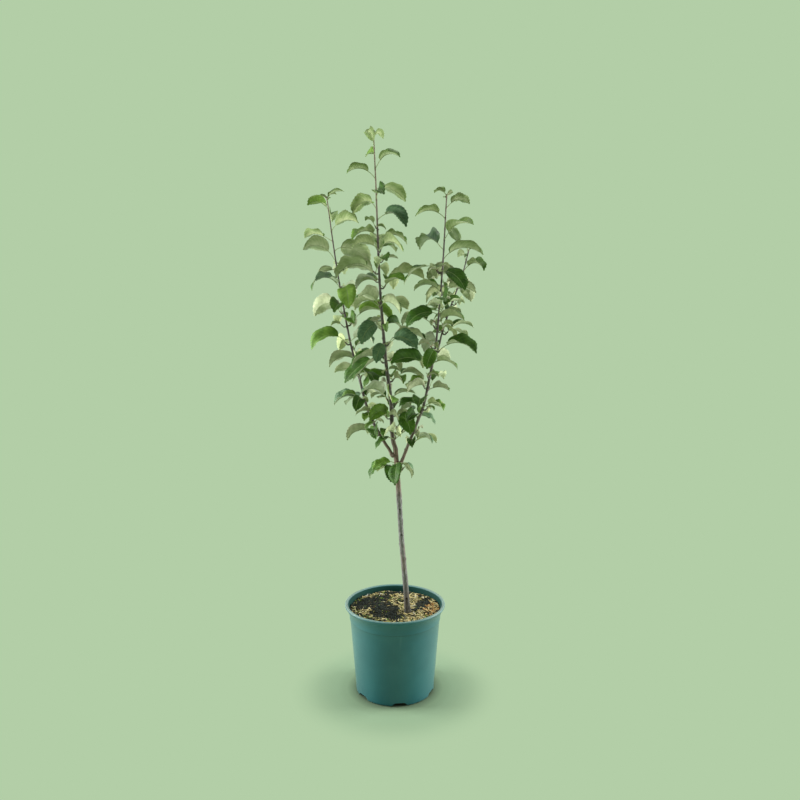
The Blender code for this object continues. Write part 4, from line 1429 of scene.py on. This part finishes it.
def make_growth(group, limb, masses, nodes, shared):
    """The twigs, buds, petioles and leaves that one limb carries, each kind joined in one piece."""
    rng = random.Random(DETAIL_SEED + len(masses))
    twigs, buds, ribs, blades = bmesh.new(), bmesh.new(), bmesh.new(), bmesh.new()
    blades.loops.layers.uv.new("UVMap")
    for mass in masses.values():
        if mass["kind"] == "spur":
            spur_wood(twigs, mass)
            end = mass["points"][-1]
            add_bud(buds, shared["bud"], end, end - mass["points"][1], SPUR_BUD)
        elif mass["kind"] == "shoot":
            shoot_wood(twigs, limb, mass)
            for leaf in mass["leaves"]:
                out = heading(leaf["azimuth"], 40)
                lean = out + np.array((0, 0, 1.0))
                add_bud(buds, shared["bud"], leaf["root"] + out * 0.0014, lean, LEAF_BUD)
        else:
            add_bud(buds, shared["bud"], limb.point(1.0), limb.along(1.0), LAST_BUD)
        spray = pick(rng, SPRAYS)
        for leaf in mass["leaves"]:
            high = ease(leaf["root"][2], 0.70, 1.30)
            leaf["tint"] = deal_tint(rng, leaf, min(1.0, max(0.0, high + SPRAY_SHIFT * spray)))
            add_leaf(blades, ribs, shared["blades"], leaf, rng)
    for k, share in enumerate(nodes):
        out = limb.outward(share, DIVERGENCE * k + 40)
        root = limb.point(share) + out * limb.radius(share)
        add_bud(buds, shared["bud"], root, out * 0.6 + limb.along(share), RESTING_BUD)
    solids = [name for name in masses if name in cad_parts]
    show_piece(f"{group}_twigs", twigs, [shared["bark"]], solids)
    show_piece(f"{group}_buds", buds, [shared["bud_scales"]])
    show_piece(f"{group}_petioles", ribs, shared["petioles"], solids)
    leaves = show_piece(f"{group}_blades", blades, shared["leaves"], solids)
    wall = leaves.modifiers.new("blade_thickness", "SOLIDIFY")
    wall.thickness = BLADE_WALL
    wall.offset = -1.0
    wall.use_rim = True
    wall.material_offset = 1
    wall.material_offset_rim = 1


def masses_of(masses, group):
    return {name: mass for name, mass in masses.items() if name.startswith(f"{group}_")}


def make_tree():
    limbs = {"trunk": Limb(TRUNK_ROUTE, trunk_radius, np.array((0.0, 0.0, 1.0)))}
    for name, plan in LIMBS.items():
        parent, height, azimuth = plan["joins"]
        radius_at = bough_radius(*plan["radii"])
        limbs[name] = branch(limbs[parent], height, azimuth, plan["route"], radius_at)
    masses, wood, placed = grow_tree(limbs)
    masses.update(grow_twiglets(limbs, wood, placed))
    masses.update(grow_tips(limbs))
    bark = bough_bark()
    shared = {
        "bud": unit_bud(),
        "blades": {count: unit_blade(count, BLADE_COLUMNS) for count in (LEAF_STATIONS, YOUNG_STATIONS)},
        "bark": bark,
        "bud_scales": plain_wood("bud_scales", (132, 92, 70), (78, 52, 42)),
        "petioles": [plain_wood("petiole_green", (158, 170, 118), (122, 138, 84), 0.5),
                     plain_wood("petiole_pale", (186, 188, 150), (168, 150, 118), 0.6)],
        "leaves": leaf_materials(),
    }
    dark_wood = plain_wood("scar_wood", (58, 47, 38), (26, 21, 17), 0.85)
    make_trunk(limbs["trunk"], trunk_bark(), dark_wood)
    make_growth("fork", limbs["trunk"], masses_of(masses, "fork"), [], shared)
    for name, plan in LIMBS.items():
        nodes = make_bark(name, limbs[name], plan, bark)
        make_growth(name, limbs[name], masses_of(masses, name), nodes, shared)
    for template in [*shared["blades"].values(), shared["bud"], *SLEEVES.values()]:
        bpy.data.meshes.remove(template)


# Studio

FLOOR_RADIUS = 14.0
FLOOR_DROP = 0.0004         # how far it lies under the pot, so that the two don't flicker
GLOW_REACH = (0.13, 0.28)   # where the floor turns from shaded into the backdrop's own colour
# Painted shadow: the floor's colour at each distance from the pot's middle, darker where the pot's foot
# stands.
FLOOR_SHADES = ((0.088, (40, 48, 38)), (0.103, (108, 127, 101)), (0.125, (136, 158, 126)),
                (0.150, (140, 163, 131)), (0.200, (133, 156, 125)), (0.280, (137, 160, 129)))
AMBIENT = 0.45
# Each light: its place, what it faces, its two sizes, its power and its colour.
SOFTBOXES = {
    "top": ((-0.1, 0.5, 3.0), (0.0, 0.0, 0.8), (1.6, 1.6), 24.0, (1.0, 1.0, 1.0)),
    "left": ((-1.45, 0.20, 0.6), (0.0, 0.0, 0.5), (0.8, 2.0), 54.0, (0.94, 0.98, 1.0)),
    "right": ((1.45, 0.20, 0.6), (0.0, 0.0, 0.5), (0.8, 2.0), 49.0, (0.94, 0.98, 1.0)),
}


def link_all(tree, pairs):
    for output, socket in pairs:
        tree.links.new(output, socket)


def make_floor():
    """A pale floor the colour of the backdrop, which takes a soft shadow near the pot and has a painted
    shadow there as well.
    """
    work = bmesh.new()
    bmesh.ops.create_circle(work, cap_ends=True, segments=128, radius=FLOOR_RADIUS)
    mesh = finished_mesh("floor", work)
    material = bpy.data.materials.new("pale_floor")
    material.use_nodes = True
    tree = material.node_tree
    tree.nodes.clear()
    place = tree.nodes.new("ShaderNodeTexCoord")
    away = tree.nodes.new("ShaderNodeVectorMath")
    away.operation = "LENGTH"
    fade = tree.nodes.new("ShaderNodeMapRange")
    fade.interpolation_type = "SMOOTHSTEP"
    set_range(fade, *GLOW_REACH, 0.0, 1.0)
    matt, glow, both = (tree.nodes.new(kind) for kind in
                        ("ShaderNodeBsdfDiffuse", "ShaderNodeEmission", "ShaderNodeMixShader"))
    # painted shadow: the floor's matt colour darkens towards the pot's foot
    painted_shadow_ramp = tree.nodes.new("ShaderNodeValToRGB")
    stops = painted_shadow_ramp.color_ramp.elements
    while len(stops) < len(FLOOR_SHADES):
        stops.new(1.0)
    for stop, (reach, shade) in zip(stops, FLOOR_SHADES):
        stop.position, stop.color = reach, paint(*shade)
    glow.inputs["Color"].default_value = BACKDROP
    output = tree.nodes.new("ShaderNodeOutputMaterial")
    link_all(tree, ((place.outputs["Object"], away.inputs[0]),
                    (away.outputs["Value"], fade.inputs["Value"]),
                    (away.outputs["Value"], painted_shadow_ramp.inputs["Fac"]),
                    (painted_shadow_ramp.outputs["Color"], matt.inputs["Color"]),
                    (fade.outputs["Result"], both.inputs[0]),
                    (matt.outputs[0], both.inputs[1]),
                    (glow.outputs[0], both.inputs[2]),
                    (both.outputs[0], output.inputs["Surface"])))
    mesh.materials.append(material)
    floor = bpy.data.objects.new("floor", mesh)
    floor.location.z = -FLOOR_DROP
    bpy.context.scene.collection.objects.link(floor)


def make_world():
    """Even white light from all round, with the plain backdrop behind the tree."""
    world = bpy.data.worlds.new("studio")
    bpy.context.scene.world = world
    world.use_nodes = True
    tree = world.node_tree
    tree.nodes.clear()
    ray = tree.nodes.new("ShaderNodeLightPath")
    light, seen = tree.nodes.new("ShaderNodeBackground"), tree.nodes.new("ShaderNodeBackground")
    light.inputs["Color"].default_value = (0.98, 1.0, 0.99, 1.0)
    light.inputs["Strength"].default_value = AMBIENT
    seen.inputs["Color"].default_value = BACKDROP
    both = tree.nodes.new("ShaderNodeMixShader")
    output = tree.nodes.new("ShaderNodeOutputWorld")
    link_all(tree, ((ray.outputs["Is Camera Ray"], both.inputs[0]),
                    (light.outputs[0], both.inputs[1]),
                    (seen.outputs[0], both.inputs[2]),
                    (both.outputs[0], output.inputs["Surface"])))


def softbox(name, place, aim, size, power, colour):
    lamp = bpy.data.lights.new(name, "AREA")
    lamp.shape = "RECTANGLE"
    lamp.size, lamp.size_y = size
    lamp.energy = power
    lamp.color = colour
    stand = bpy.data.objects.new(name, lamp)
    stand.location = place
    stand.rotation_euler = (Vector(aim) - Vector(place)).to_track_quat("-Z", "Y").to_euler()
    bpy.context.scene.collection.objects.link(stand)


def make_studio():
    make_floor()
    make_world()
    for name, measures in SOFTBOXES.items():
        softbox(f"{name}_softbox", *measures)
    lens = bpy.data.cameras.new("camera")
    lens.lens = CAMERA_LENS
    lens.sensor_width = 36.0
    camera = bpy.data.objects.new("camera", lens)
    camera.location = CAMERA_PLACE
    camera.rotation_euler = (math.radians(90 - CAMERA_PITCH), 0.0, 0.0)
    bpy.context.scene.collection.objects.link(camera)
    bpy.context.scene.camera = camera
    bpy.context.scene.view_settings.view_transform = "Standard"


make_studio()
make_pot()
make_soil()
make_soil_bits()
make_tree()
